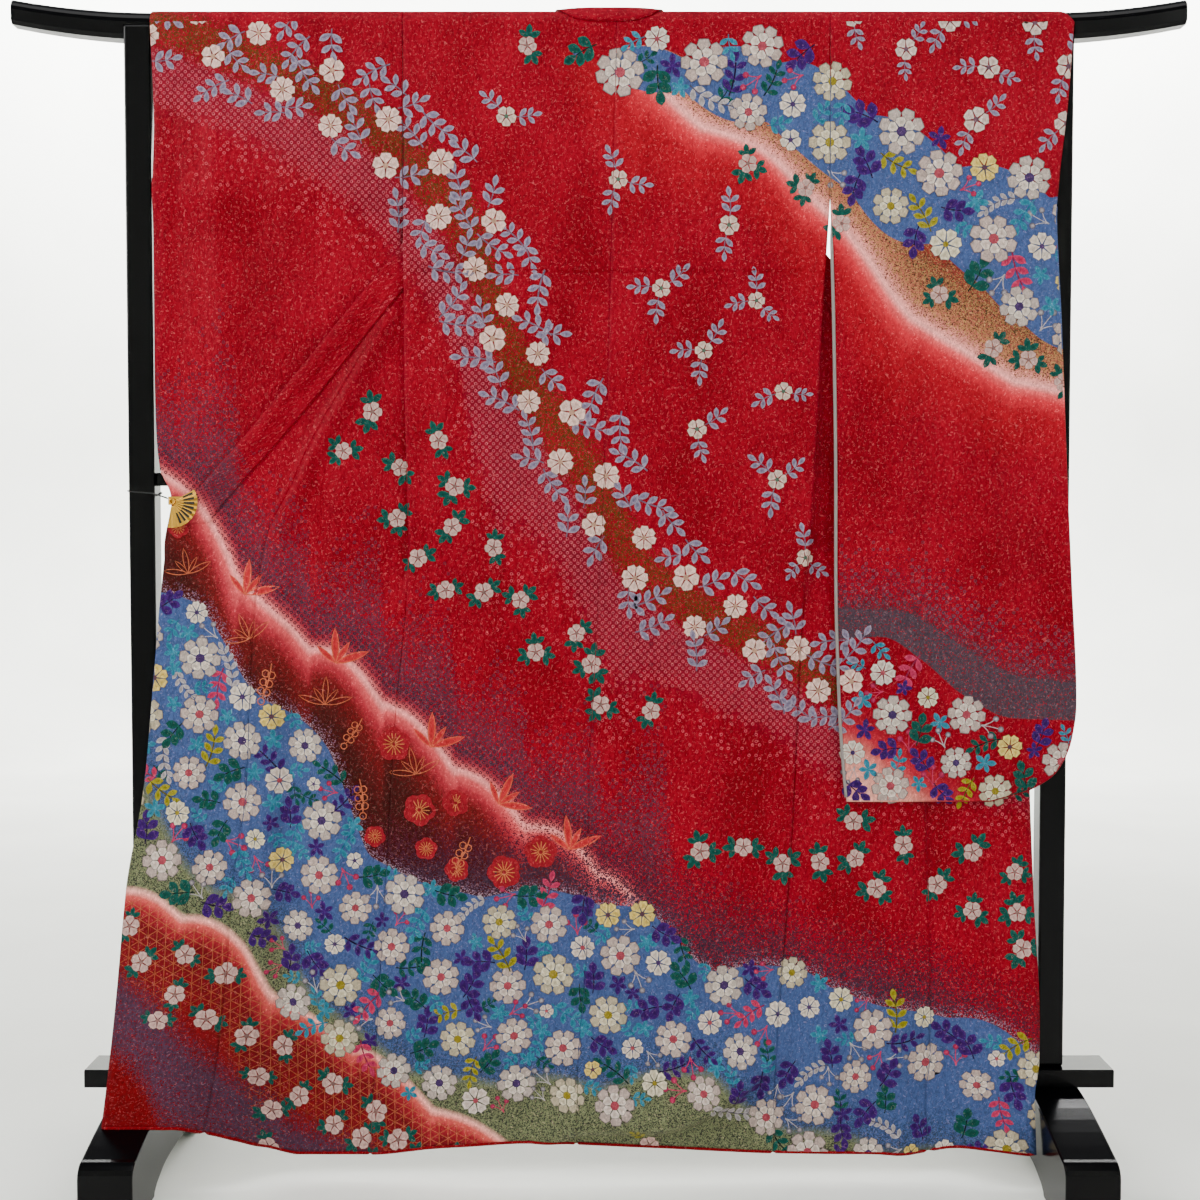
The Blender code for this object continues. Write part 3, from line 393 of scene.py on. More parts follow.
def add_node(tree: bpy.types.NodeTree, kind: str, inputs: dict | None = None,
             **settings: object) -> bpy.types.Node:
    """Adds a node, sets it up and links it.

    Args:
        tree: The material's node tree.
        kind: The node's type name.
        inputs: Each input's name or number, with a value or the socket that feeds it.
        settings: Properties of the node itself.

    Returns:
        The node.
    """
    node = tree.nodes.new(kind)
    for name, value in settings.items():
        setattr(node, name, value)
    for name, value in (inputs or {}).items():
        if isinstance(value, bpy.types.NodeSocket):
            tree.links.new(value, node.inputs[name])
        else:
            node.inputs[name].default_value = value
    return node


def put_mesh(name: str, points: Array, faces: Array, uv: Array | None = None,
             fields: dict[str, Array] | None = None, colours: Array | None = None) -> bpy.types.Object:
    """Makes a smooth shaded object from whole arrays of points and faces.

    Args:
        name: The object's name.
        points: One row of three coordinates for each vertex.
        faces: One row of vertex numbers for each face, three or four of them.
        uv: Two coordinates for each vertex, in metres along the cloth.
        fields: Named numbers, one for each vertex.
        colours: A linear colour for each vertex, kept as the attribute "dye".

    Returns:
        The object, linked to the scene.
    """
    mesh = bpy.data.meshes.new(name)
    sides = faces.shape[1]
    mesh.vertices.add(len(points))
    mesh.vertices.foreach_set("co", np.ascontiguousarray(points, np.float32).ravel())
    mesh.loops.add(faces.size)
    mesh.loops.foreach_set("vertex_index", np.ascontiguousarray(faces, np.int32).ravel())
    mesh.polygons.add(len(faces))
    mesh.polygons.foreach_set("loop_start", np.arange(0, faces.size, sides, dtype=np.int32))
    mesh.update(calc_edges=True)
    mesh.polygons.foreach_set("use_smooth", np.full(len(faces), True))
    if uv is not None:
        layer = mesh.uv_layers.new(name="Cloth")
        layer.data.foreach_set("uv", np.ascontiguousarray(uv[faces.ravel()], np.float32).ravel())
    for key, values in (fields or {}).items():
        attribute = mesh.attributes.new(key, "FLOAT", "POINT")
        attribute.data.foreach_set("value", np.ascontiguousarray(values, np.float32).ravel())
    if colours is not None:
        attribute = mesh.attributes.new("dye", "FLOAT_COLOR", "POINT")
        rgba = np.concatenate([colours[:, :3], np.ones((len(colours), 1))], axis=1)
        attribute.data.foreach_set("color", np.ascontiguousarray(rgba, np.float32).ravel())
    obj = bpy.data.objects.new(name, mesh)
    bpy.context.scene.collection.objects.link(obj)
    return obj


def grid_faces(rows: int, columns: int, flip: bool = False, start: int = 0) -> Array:
    """The quads of a grid of points, row after row.

    Args:
        rows: How many rows of points.
        columns: How many points in a row.
        flip: Whether to wind the quads the other way round.
        start: The first point's number.

    Returns:
        Four vertex numbers for each quad.
    """
    index = start + np.arange(rows * columns).reshape(rows, columns)
    quads = np.stack([index[:-1, :-1], index[:-1, 1:], index[1:, 1:], index[1:, :-1]], axis=-1)
    quads = quads.reshape(-1, 4)
    return quads[:, ::-1] if flip else quads


# Hanging cloth

@dataclass(frozen=True)
class Drape:
    """How the cloth hangs on the bar: the formulas that all pieces of cloth share."""

    cloth: float = 0.0012           # lined silk
    seam: float = 0.0003            # gap between two pieces
    drape: float = 0.0195           # radius of the cloth's middle over the bar
    bar_middle: float = 1.675
    tuck_level: float = 1.318
    tuck_rise: float = 0.0018
    slack: float = 1.4              # how much deeper fine creases hang than their table
    hem_level: float = 0.040
    hem_reach: float = 0.310
    crease_fade: float = 0.22
    break_above: float = 0.070
    break_below: float = 0.024
    fold_start: float = 1.675
    fold_shut: float = 1.575
    turn_arc: float = 0.0126
    turn_arc_top: float = 0.0360
    fold_open: tuple[float, float] = (0.96, 0.82)
    fold_least: float = 0.003
    lap_in: float = 0.001
    fold_rise: float = 0.0095
    fold_width: float = 0.017
    fold_beside: float = 0.014
    edge_rise: float = 0.0060
    pucker: float = 0.0007          # how far a seam pulls the cloth in
    pucker_width: float = 0.0035

    @property
    def quarter(self) -> float:
        """Length of cloth from the bar's ridge to where it hangs straight."""
        return self.drape * math.pi / 2

    @property
    def ridge(self) -> float:
        """Height along the cloth of the line over the bar's ridge."""
        return self.bar_middle + self.quarter

    def ridges(self, x: Array, z: Array, rows: Sequence[Crease]) -> Array:
        """Sums creases: a bell curve across each, eased in and out along it.

        Args:
            x: Places across.
            z: Heights.
            rows: The creases.

        Returns:
            How far the cloth stands out.
        """
        out = np.zeros(np.broadcast(x, z).shape)
        for crease in rows:
            t = (crease.z_top - z) / (crease.z_top - crease.z_foot)
            aside = (x - crease.x_top - t * (crease.x_foot - crease.x_top)) / crease.width
            window = smooth_step(t / self.crease_fade) * smooth_step((1.0 - t) / self.crease_fade)
            out += crease.rise * np.exp(-aside ** 2) * window
        return out

    def relief(self, x: Array, z: Array) -> Array:
        """The swells over the stand's feet, the creases and the hem's sagging fold.

        Args:
            x: Places across.
            z: Heights.

        Returns:
            How far the body's cloth stands out in front of its own hanging plane.
        """
        out = self.ridges(x, z, CREASES) + self.slack * self.ridges(x, z, FINE_CREASES)
        for swell in SWELLS:
            across = smooth_step((x - swell.start) / (swell.end - swell.start))
            down = np.clip((swell.highest - z) / (swell.highest - swell.lowest), 0.0, None)
            out += swell.rise * across * down ** swell.power
        crest = table_curve(x, HEM_BREAK, "z", key="x")
        rise = table_curve(x, HEM_BREAK, "rise", key="x")
        above = np.exp(-((z - crest) / self.break_above) ** 2)
        below = 1.0 - smooth_step((crest - z) / self.break_below)
        return out + rise * np.where(z > crest, above, below)

    def lifted(self, x: Array, level: Array) -> Array:
        """Height of a point of the body: its foot follows the hem's line.

        Args:
            x: Places across.
            level: Heights in the tables, where the hem is level.

        Returns:
            Real heights.
        """
        t = np.clip((self.hem_level + self.hem_reach - level) / self.hem_reach, 0.0, 1.0)
        return level + (table_curve(x, HEM, "z", key="x") - self.hem_level) * t * t

    def hung(self, x: Array, level: Array, layer: str) -> Array:
        """A point of the body: its layer's depth less the relief.

        Args:
            x: Places across.
            level: Heights in the tables.
            layer: The layer's column.

        Returns:
            Points, three coordinates each.
        """
        x, level = np.broadcast_arrays(x, level)
        z = self.lifted(x, level)
        return np.stack([x, table_curve(z, LAYERS, layer) - self.relief(x, z), z], axis=-1)

    def over_bar(self, x: Array, q: Array, lift: Array | float = 0.0) -> Array:
        """A point round the bar's top: an arc of the drape's radius about the bar's centre.

        Args:
            x: Places along the bar.
            q: Length of cloth from the ridge, down the far side.
            lift: How far the point stands off the cloth's middle.

        Returns:
            Points, three coordinates each.
        """
        q = np.asarray(q, float)
        held = np.clip(q, -self.quarter, self.quarter)
        x, angle, r, drop = np.broadcast_arrays(x, held / self.drape, self.drape + lift,
                                                np.abs(q) - np.abs(held))
        return np.stack([x, r * np.sin(angle), self.bar_middle + r * np.cos(angle) - drop], axis=-1)

    def section(self, rows: Sequence[Side], level: Array,
                s: Array | Callable[..., Array]) -> tuple[Array, Array, Array]:
        """Across a front at one height: in behind the back, round a turn and out again.

        Each stretch adds its length times the cosine and sine of its heading, and the
        turn adds its chord.

        Args:
            rows: The front's table.
            level: Heights in the tables.
            s: Places along the cloth from the side seam, or a function that gives them.

        Returns:
            Place across, distance back from the side seam, and the cloth's whole width.
        """
        sign = 1.0 if rows[0].hinge < 0 else -1.0
        inward = sign * (table_curve(level, rows, "edge") - table_curve(level, rows, "hinge"))
        start = math.pi * smooth_step((self.fold_open[0] - level) / (self.fold_open[0] - self.fold_open[1]))
        turn = math.pi * smooth_step((self.fold_start - level) / (self.fold_start - self.fold_shut)) - start
        loose = (self.turn_arc_top - self.turn_arc) * smooth_step((level - 1.40) / 0.18)
        arc = self.turn_arc + loose - 0.0030 * np.sin(start)
        first = table_curve(level, rows, "tuck")
        reach = first * np.cos(start) + arc * np.cos(start + turn / 2) * np.sinc(turn / 2 / math.pi)
        second = np.maximum(reach - inward, self.fold_least)
        width = first + arc + second
        place = np.asarray(s(first, arc, second, level) if callable(s) else s)
        t = np.clip(place - first, 0.0, arc)
        bend = t * turn / arc / 2
        after = np.clip(place - first - arc, 0.0, None)
        before = np.minimum(place, first)
        chord = t * np.sinc(bend / math.pi)
        dx = before * np.cos(start) + chord * np.cos(start + bend) + after * np.cos(start + turn)
        dy = before * np.sin(start) + chord * np.sin(start + bend) + after * np.sin(start + turn)
        dx = dx + self.lap_in * start / math.pi
        return table_curve(level, rows, "hinge") + sign * dx, dy, width

    def drawn_folds(self, rows: Sequence[Side], level: Array, x: Array) -> Array:
        """The folds that radiate from the armhole where a front is drawn out to its clip.

        Args:
            rows: The front's table.
            level: Heights in the tables.
            x: Places across.

        Returns:
            How far the cloth stands out.
        """
        out = np.abs(x - table_curve(level, rows, "hinge"))
        free = np.abs(table_curve(level, rows, "edge") - table_curve(level, rows, "hinge"))
        seam = free - table_curve(level, rows, "okumi")
        height = smooth_step((1.33 - level) / 0.10)
        beside = self.fold_rise * np.exp(-((out - seam + self.fold_beside) / self.fold_width) ** 2)
        at_edge = self.edge_rise * np.exp(-((free - out - 0.010) / 0.024) ** 2)
        beside = beside * smooth_step((level - 0.84) / 0.22)
        at_edge = at_edge * smooth_step((level - 0.97) / 0.12)
        return (beside + at_edge) * height * smooth_step((out - 0.004) / 0.035)

    def front_point(self, rows: Sequence[Side], level: Array,
                    s: Array | Callable[..., Array]) -> Array:
        """A point of a front at a height in the tables.

        Args:
            rows: The front's table.
            level: Heights in the tables.
            s: Places along the cloth from the side seam, or a function that gives them.

        Returns:
            Points, three coordinates each.
        """
        left = rows is LEFT_FRONT
        x, back, _ = self.section(rows, level, s)
        point = self.hung(x, level, "left_front" if left else "right_front")
        point[..., 1] += back
        if left:
            outside = x < table_curve(level, rows, "hinge")
            point[..., 1] -= np.where(outside, self.drawn_folds(rows, level, x), 0.0)
        return point


class Grid(NamedTuple):
    """A sheet's points with their places on the cloth and on the dyer's plan."""

    points: Array    # rows x columns x 3
    cloth: Array     # rows x columns x 2, metres along the cloth
    plan: Array      # rows x columns x 2, metres on the dyer's plan


class Face(NamedTuple):
    """An outer face that motifs are laid on: its limits on the plan and its surface."""

    name: str
    low: float
    high: float
    span: Callable[[Array], tuple[Array, Array]]
    middle: Callable[[Array, Array], Array]
    outward: float


def spaced(top: float, foot: float, step: float) -> Array:
    """Even heights from top to foot, about a step apart.

    Args:
        top: The first height.
        foot: The last height.
        step: The wanted spacing.

    Returns:
        The heights.
    """
    return np.linspace(top, foot, max(2, int(round(abs(top - foot) / step)) + 1))


@dataclass
class Sheet:
    """A piece of cloth that hangs: the base of every panel, sleeve and the collar."""

    name: str
    node: str
    flat: tuple[float, float]           # the cut of what shows, metres
    area: float = 0.0                   # its flat area where the cut isn't a rectangle, square metres
    drape: Drape = field(default_factory=Drape)
    step: float = 0.0065                # spacing of the shell's points
    flip: bool = False
    without: tuple[str, ...] = WAVES    # bands not on it
    rests_on: tuple[str, ...] = ("top_bar",)

    def grid(self) -> Grid:
        """The sheet's points. Each kind of sheet has its own."""
        raise NotImplementedError

    def faces(self) -> list[Face]:
        """The outer faces that motifs are laid on."""
        return []

    def extra(self, grid: Grid) -> tuple[Array, Array, Array, Array] | None:
        """Points, faces, cloth and plan places beyond the grid, such as a closing rim."""
        return None

    def build(self, dyes: Callable[[Array, Array], dict[str, Array]],
              outside: bpy.types.Material, lining: bpy.types.Material) -> bpy.types.Object:
        """Makes the shell, gives it its wall and lining, and puts it in its solid's place.

        Args:
            dyes: Gives the dyed bands' fields at places on the plan.
            outside: The material of the outer face and the edges.
            lining: The material of the inner face.

        Returns:
            The finished piece.
        """
        grid = self.grid()
        rows, columns = grid.points.shape[:2]
        points = grid.points.reshape(-1, 3)
        cloth, plan = grid.cloth.reshape(-1, 2), grid.plan.reshape(-1, 2)
        faces = grid_faces(rows, columns)
        more = self.extra(grid)
        if more is not None:
            points = np.concatenate([points, more[0]])
            faces = np.concatenate([faces, more[1]])
            cloth = np.concatenate([cloth, more[2]])
            plan = np.concatenate([plan, more[3]])
        if self.flip:
            faces = faces[:, ::-1]
        fields = dyes(plan[:, 0], plan[:, 1])
        for band in self.without:
            fields[band] = np.full(len(points), -BEYOND if band == "sky" else BEYOND)
        obj = put_mesh(self.name, points, faces, uv=cloth, fields=fields)
        obj.data.materials.append(outside)
        obj.data.materials.append(lining)
        wall = obj.modifiers.new("Wall", "SOLIDIFY")
        wall.thickness = self.drape.cloth
        wall.offset = 0.0
        wall.material_offset = 1
        wall.use_rim = True
        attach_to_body(obj, "root")
        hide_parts(self.node)
        LOG.info("%s: %d points", self.name, len(points))
        self.hem = grid.points[-1]
        return obj


@dataclass
class BackPanel(Sheet):
    """One half of the back, from the shoulder line over the bar's top down to the hem."""

    rows: Sequence[Side] = LEFT_FRONT
    top: float = 1.663
    neck_middle: float = 0.015
    neck_cut: float = 0.0265
    neck_cut_half: float = 0.076

    def span(self, level: Array) -> tuple[Array, Array]:
        """The side seam and the centre seam at each height.

        Args:
            level: Heights along the cloth.

        Returns:
            The two seams' places across.
        """
        sign = -1.0 if self.rows is LEFT_FRONT else 1.0
        held = np.minimum(level, self.top)
        side = table_curve(held, self.rows, "hinge")
        seam = table_curve(held, BACK_SEAM, "x") + sign * 0.00002
        return side, seam

    def at(self, x: Array, v: Array) -> Array:
        """The cloth's middle: hung below the bar's top and wound round it above.

        Args:
            x: Places across.
            v: Heights along the cloth.

        Returns:
            Points, three coordinates each.
        """
        d = self.drape
        x, v = np.broadcast_arrays(np.asarray(x, float), np.asarray(v, float))
        body = d.hung(x, np.minimum(v, self.top), "back")
        above = body[..., 2] - d.tuck_level
        shift = d.tuck_rise * np.where(above > 0.0, smooth_step(1.0 - above / 0.06), 0.0)
        side, seam = self.span(v)
        pull = np.exp(-((x - side) / d.pucker_width) ** 2) + np.exp(-((x - seam) / d.pucker_width) ** 2)
        body[..., 1] += d.pucker * pull - shift
        wound = d.over_bar(x, v - d.ridge)
        return np.where((v > self.top)[..., None], wound, body)

    def grid(self) -> Grid:
        """Rows from the cut neck edge down to the hem.

        Returns:
            The piece's points, with their places on the cloth and the plan.
        """
        d = self.drape
        hang = np.concatenate([
            spaced(self.top, d.tuck_level + 0.004, self.step),
            [d.tuck_level + 0.001, d.tuck_level - 0.001],
            spaced(d.tuck_level - 0.004, d.hem_level, self.step),
        ])
        side, seam = self.span(hang)
        count = int(0.31 / self.step)
        t = np.linspace(0.0, 1.0, count + 1)
        t = t - np.sin(2 * math.pi * t) * 0.06
        x = side[:, None] + (seam - side)[:, None] * t
        v = np.broadcast_to(hang[:, None], x.shape)
        aside = np.clip(np.abs(x[0] - self.neck_middle) / self.neck_cut_half, 0.0, 1.0)
        start = d.ridge - self.neck_cut * (1.0 - aside ** 2) ** 0.75 - d.seam / 2
        wrap = start + (self.top - start) * np.linspace(0.0, 1.0, 10)[:-1, None]
        x = np.concatenate([np.broadcast_to(x[0], wrap.shape), x])
        v = np.concatenate([wrap, v])
        plan = np.stack([x, v], axis=-1)
        return Grid(self.at(x, v), plan, plan)

    def faces(self) -> list[Face]:
        """The whole panel, up to the bar's ridge."""
        return [Face(self.name, self.drape.hem_level, self.drape.ridge, self.span, self.at, -1.0)]


@dataclass
class FrontPanel(Sheet):
    """One front, from the shoulder line down the far side to the hem."""

    rows: Sequence[Side] = LEFT_FRONT
    top: float = 1.668
    counts: tuple[int, int, int] = (12, 10, 34)

    @property
    def sign(self) -> float:
        """Which way the cloth runs from its free edge to its side seam."""
        return 1.0 if self.rows is LEFT_FRONT else -1.0

    def width(self, level: Array) -> Array:
        """The cloth's width from side seam to free edge, overlap panel and all."""
        return self.drape.section(self.rows, level, lambda first, arc, second, lv: first)[2]

    def to_plan(self, s: Array, level: Array) -> Array:
        """Place across on the plan: the free edge, plus the cloth from there inwards."""
        return table_curve(level, self.rows, "edge") + self.sign * (self.width(level) - s)

    def from_plan(self, x: Array, level: Array) -> Array:
        """Length of cloth from the side seam to a place across on the plan."""
        return self.width(level) - self.sign * (x - table_curve(level, self.rows, "edge"))

    def columns(self, level: Array) -> Array:
        """Places along the cloth, columns first: in, round the turn and out.

        Args:
            level: Heights, one for each row.

        Returns:
            Lengths of cloth from the side seam, one row for each column of points.
        """
        d = self.drape

        def places(first: Array, arc: Array, second: Array, lv: Array) -> Array:
            """The columns' places along the cloth, even where the fold has opened."""
            end = first + arc + second - table_curve(lv, self.rows, "okumi")
            inside = np.minimum(first, end - 0.024)
            turned = np.minimum(first + arc, (inside + end) / 2)
            pieces = zip((0.0 * inside, inside, turned), (inside, turned, end), self.counts)
            folded = [a + (b - a) * np.linspace(0.0, 1.0, n + 1)[:-1, None] for a, b, n in pieces]
            folded = np.concatenate(folded + [end[None]])
            even = np.linspace(0.0, 1.0, len(folded))[:, None] * end
            flat = smooth_step((d.fold_open[0] - lv) / (d.fold_open[0] - d.fold_open[1]))
            return folded + (even - folded) * flat

        first, arc, second = self.stretches(level)
        return places(first, arc, second, level)

    def stretches(self, level: Array) -> tuple[Array, Array, Array]:
        """The lengths of the cloth's stretch in, its turn and its stretch out.

        Args:
            level: Heights.

        Returns:
            The three lengths.
        """
        kept: list[Array] = []

        def note(first: Array, arc: Array, second: Array, lv: Array) -> Array:
            """Keeps the stretches that the section hands over."""
            kept.extend([first, arc, second])
            return first

        self.drape.section(self.rows, level, note)
        return kept[0], kept[1], kept[2]

    def at(self, x: Array, v: Array) -> Array:
        """The cloth's middle at a place on the plan.

        Args:
            x: Places across.
            v: Heights along the cloth.

        Returns:
            Points, three coordinates each.
        """
        d = self.drape
        x, v = np.broadcast_arrays(np.asarray(x, float), np.asarray(v, float))
        level = np.minimum(v, self.top)
        s = self.from_plan(x, level)
        body = d.front_point(self.rows, level, s)
        hinge = table_curve(level, self.rows, "hinge")
        seam = table_curve(level, self.rows, "edge") + self.sign * table_curve(level, self.rows, "okumi")
        pull = np.exp(-((x - hinge) / d.pucker_width) ** 2) + np.exp(-((x - seam) / d.pucker_width) ** 2)
        body[..., 1] += d.pucker * pull * smooth_step((0.95 - level) / 0.1)
        wound = d.over_bar(body[..., 0], d.ridge - v)
        return np.where((v > self.top)[..., None], wound, body)

    def hang_levels(self, top: float) -> Array:
        """Heights of the rows, closer where the fold opens out and over the hem's fold.

        Args:
            top: The highest row.

        Returns:
            The rows' heights.
        """
        return np.concatenate([
            spaced(top, 1.00, self.step * 1.3)[:-1],
            spaced(1.00, 0.80, self.step)[:-1],
            spaced(0.80, self.drape.hem_level, self.step * 1.2),
        ])

    def grid(self) -> Grid:
        """Rows from the shoulder line to the hem.

        Returns:
            The piece's points, with their places on the cloth and the plan.
        """
        d = self.drape
        level = self.hang_levels(self.top)
        s = self.columns(level).T
        v = np.broadcast_to(level[:, None], s.shape)
        x = self.to_plan(s, v)
        wrap = np.linspace(d.ridge - d.seam / 2, self.top, 7)[:-1, None]
        x_up = np.broadcast_to(x[0], (6, x.shape[1]))
        v_up = np.broadcast_to(wrap, x_up.shape)
        x, v = np.concatenate([x_up, x]), np.concatenate([v_up, v])
        plan = np.stack([x, v], axis=-1)
        return Grid(self.at(x, v), plan, plan)

    def visible_span(self, level: Array) -> tuple[Array, Array]:
        """From the side seam to the overlap panel's seam.

        Args:
            level: Heights.

        Returns:
            The two edges' places across.
        """
        hinge = table_curve(level, self.rows, "hinge") - self.sign * 0.001
        okumi = table_curve(level, self.rows, "okumi")
        return hinge, table_curve(level, self.rows, "edge") + self.sign * (okumi + self.drape.seam / 2)

    def faces(self) -> list[Face]:
        """What shows past the side seam."""
        return [Face(self.name, self.drape.hem_level, 1.34, self.visible_span, self.at, -1.0)]


@dataclass
class OverlapPanel(FrontPanel):
    """The overlap panel sewn to a front's edge, from its tip under the collar to the hem."""

    tip: float = 1.32
    tip_width: float = 0.0038
    collar_end: float = 0.955
    across: int = 24

    def grid(self) -> Grid:
        """Rows from the tip to the hem.

        Returns:
            The piece's points, with their places on the cloth and the plan.
        """
        d = self.drape
        level = self.hang_levels(self.tip)
        width = self.width(level)
        start = width - table_curve(level, self.rows, "okumi")
        under = table_curve(self.tip, self.rows, "okumi") - self.tip_width
        stop = width - under * smooth_step((level - self.collar_end) / 0.24) ** 0.8
        t = np.linspace(0.0, 1.0, self.across + 1)
        s = start[:, None] + (stop - start)[:, None] * t
        v = np.broadcast_to(level[:, None], s.shape)
        plan = np.stack([self.to_plan(s, v), v], axis=-1)
        return Grid(self.at(plan[..., 0], v), plan, plan)

    def visible_span(self, level: Array) -> tuple[Array, Array]:
        """From the panel's seam to its free edge.

        Args:
            level: Heights.

        Returns:
            The two edges' places across.
        """
        edge = table_curve(level, self.rows, "edge")
        okumi = table_curve(level, self.rows, "okumi")
        return edge + self.sign * (okumi - 0.8 * self.drape.seam), edge

    def faces(self) -> list[Face]:
        """The panel below the collar's end."""
        return [Face(self.name, self.drape.hem_level, self.collar_end, self.visible_span, self.at, -1.0)]


@dataclass
class Collar(Sheet):
    """The collar: down the left front, round the back of the neck and down the right."""

    width: float = 0.055
    lap: float = 0.0017
    lap_top: float = 0.0037
    across: int = 12
    neck_steps: int = 48
    neck_middle: float = 0.015
    neck_half: float = 0.082
    neck_drop: float = 0.030
    neck_front: float = 0.035
    neck_rise: float = 0.004
    end: float = 0.955
    top: float = 1.668

    def strip(self, front: FrontPanel, x: Array, v: Array) -> Array:
        """The front's own points, moved out from its face by the collar's lap.

        Args:
            front: The front that the collar lies on.
            x: Places on the plan.
            v: Heights along the cloth.

        Returns:
            Points of the collar's middle.
        """
        small = 0.0005
        sign = 1.0 if front.rows is LEFT_FRONT else -1.0
        s = front.from_plan(x, v)

        def point(shift: float, drop: float) -> Array:
            """The front's point a little along the cloth and up it."""
            return self.drape.front_point(front.rows, v + drop, s + shift)

        across = point(small, 0.0) - point(-small, 0.0)
        down = point(0.0, -small) - point(0.0, small)
        out = np.cross(across, down) * sign
        out /= np.linalg.norm(out, axis=-1, keepdims=True)
        lap = self.lap + (self.lap_top - self.lap) * smooth_step((v - 1.42) / 0.08)
        return point(0.0, 0.0) + lap[..., None] * out

    def leg(self, front: FrontPanel) -> tuple[Array, Array]:
        """Points and plan of one leg, rows from the neck down.

        Args:
            front: The front that it lies on.

        Returns:
            The leg's points and their places on the plan.
        """
        level = np.concatenate([spaced(self.top, 1.40, self.step),
                                spaced(1.40, self.end, self.step * 1.2)[1:]])
        edge = table_curve(level, front.rows, "edge")
        t = np.linspace(1.0, 0.0, self.across + 1)
        x = edge[:, None] + front.sign * self.width * t
        v = np.broadcast_to(level[:, None], x.shape)
        return self.strip(front, x, v), np.stack([x, v], axis=-1)

    def grid(self) -> Grid:
        """Rows along the collar from its left foot to its right one.

        Returns:
            The piece's points, with their places on the cloth and the plan.
        """
        d = self.drape
        turn = np.linspace(-math.pi / 2, math.pi / 2, 400)
        bow = np.sign(np.sin(turn)) * np.abs(np.sin(turn)) ** 0.6
        seam = np.stack([self.neck_middle + self.neck_half * bow,
                         self.neck_front - (self.neck_drop + self.neck_front) * np.abs(np.cos(turn)) ** 0.7])
        edge = np.stack([self.neck_middle + (self.neck_half - self.width) * bow,
                         self.neck_front - 0.011 * np.abs(np.cos(turn))])
        run = np.concatenate([[0.0], np.cumsum(np.hypot(*np.diff(seam, axis=1)))])
        even = np.linspace(0.0, run[-1], self.neck_steps + 1)[1:-1]
        t = np.linspace(0.0, 1.0, self.across + 1)
        (seam_x, seam_q), (edge_x, edge_q) = (
            [np.interp(even, run, row)[:, None] for row in line] for line in (seam, edge))
        x = seam_x + (edge_x - seam_x) * t
        q = seam_q + (edge_q - seam_q) * t
        back = np.interp(even, run, np.cos(turn))[:, None]
        lap = self.lap_top + (self.lap - self.lap_top) * back
        stand = self.neck_rise * back * np.sin(math.pi * np.clip(t * 1.15, 0, 1))
        neck = d.over_bar(x, q, lap + stand)
        left, left_plan = self.leg(FrontPanel("", "", (0, 0), rows=LEFT_FRONT))
        right, right_plan = self.leg(FrontPanel("", "", (0, 0), rows=RIGHT_FRONT))
        points = np.concatenate([left[::-1], neck, right])
        plan = np.concatenate([left_plan[::-1], np.stack([x, d.ridge - np.abs(q)], axis=-1), right_plan])
        step = np.linalg.norm(np.diff(points[:, 0], axis=0), axis=-1)
        along = np.concatenate([[0.0], np.cumsum(step)])
        cloth = np.stack(np.broadcast_arrays(self.width * t[None], along[:, None]), axis=-1)
        return Grid(points, cloth, plan)

    def faces(self) -> list[Face]:
        """The left leg, where it shows past the side seam.

        Returns:
            The one face.
        """
        front = FrontPanel("", "", (0, 0), rows=LEFT_FRONT)

        def span(level: Array) -> tuple[Array, Array]:
            """From the collar's seam, or the side seam where that is nearer, to the free edge."""
            edge = table_curve(level, LEFT_FRONT, "edge")
            hinge = table_curve(level, LEFT_FRONT, "hinge") - 0.001
            return np.minimum(edge + self.width, np.maximum(hinge, edge)), edge

        return [Face(self.name, self.end, 1.34, span, lambda x, v: self.strip(front, x, v), -1.0)]


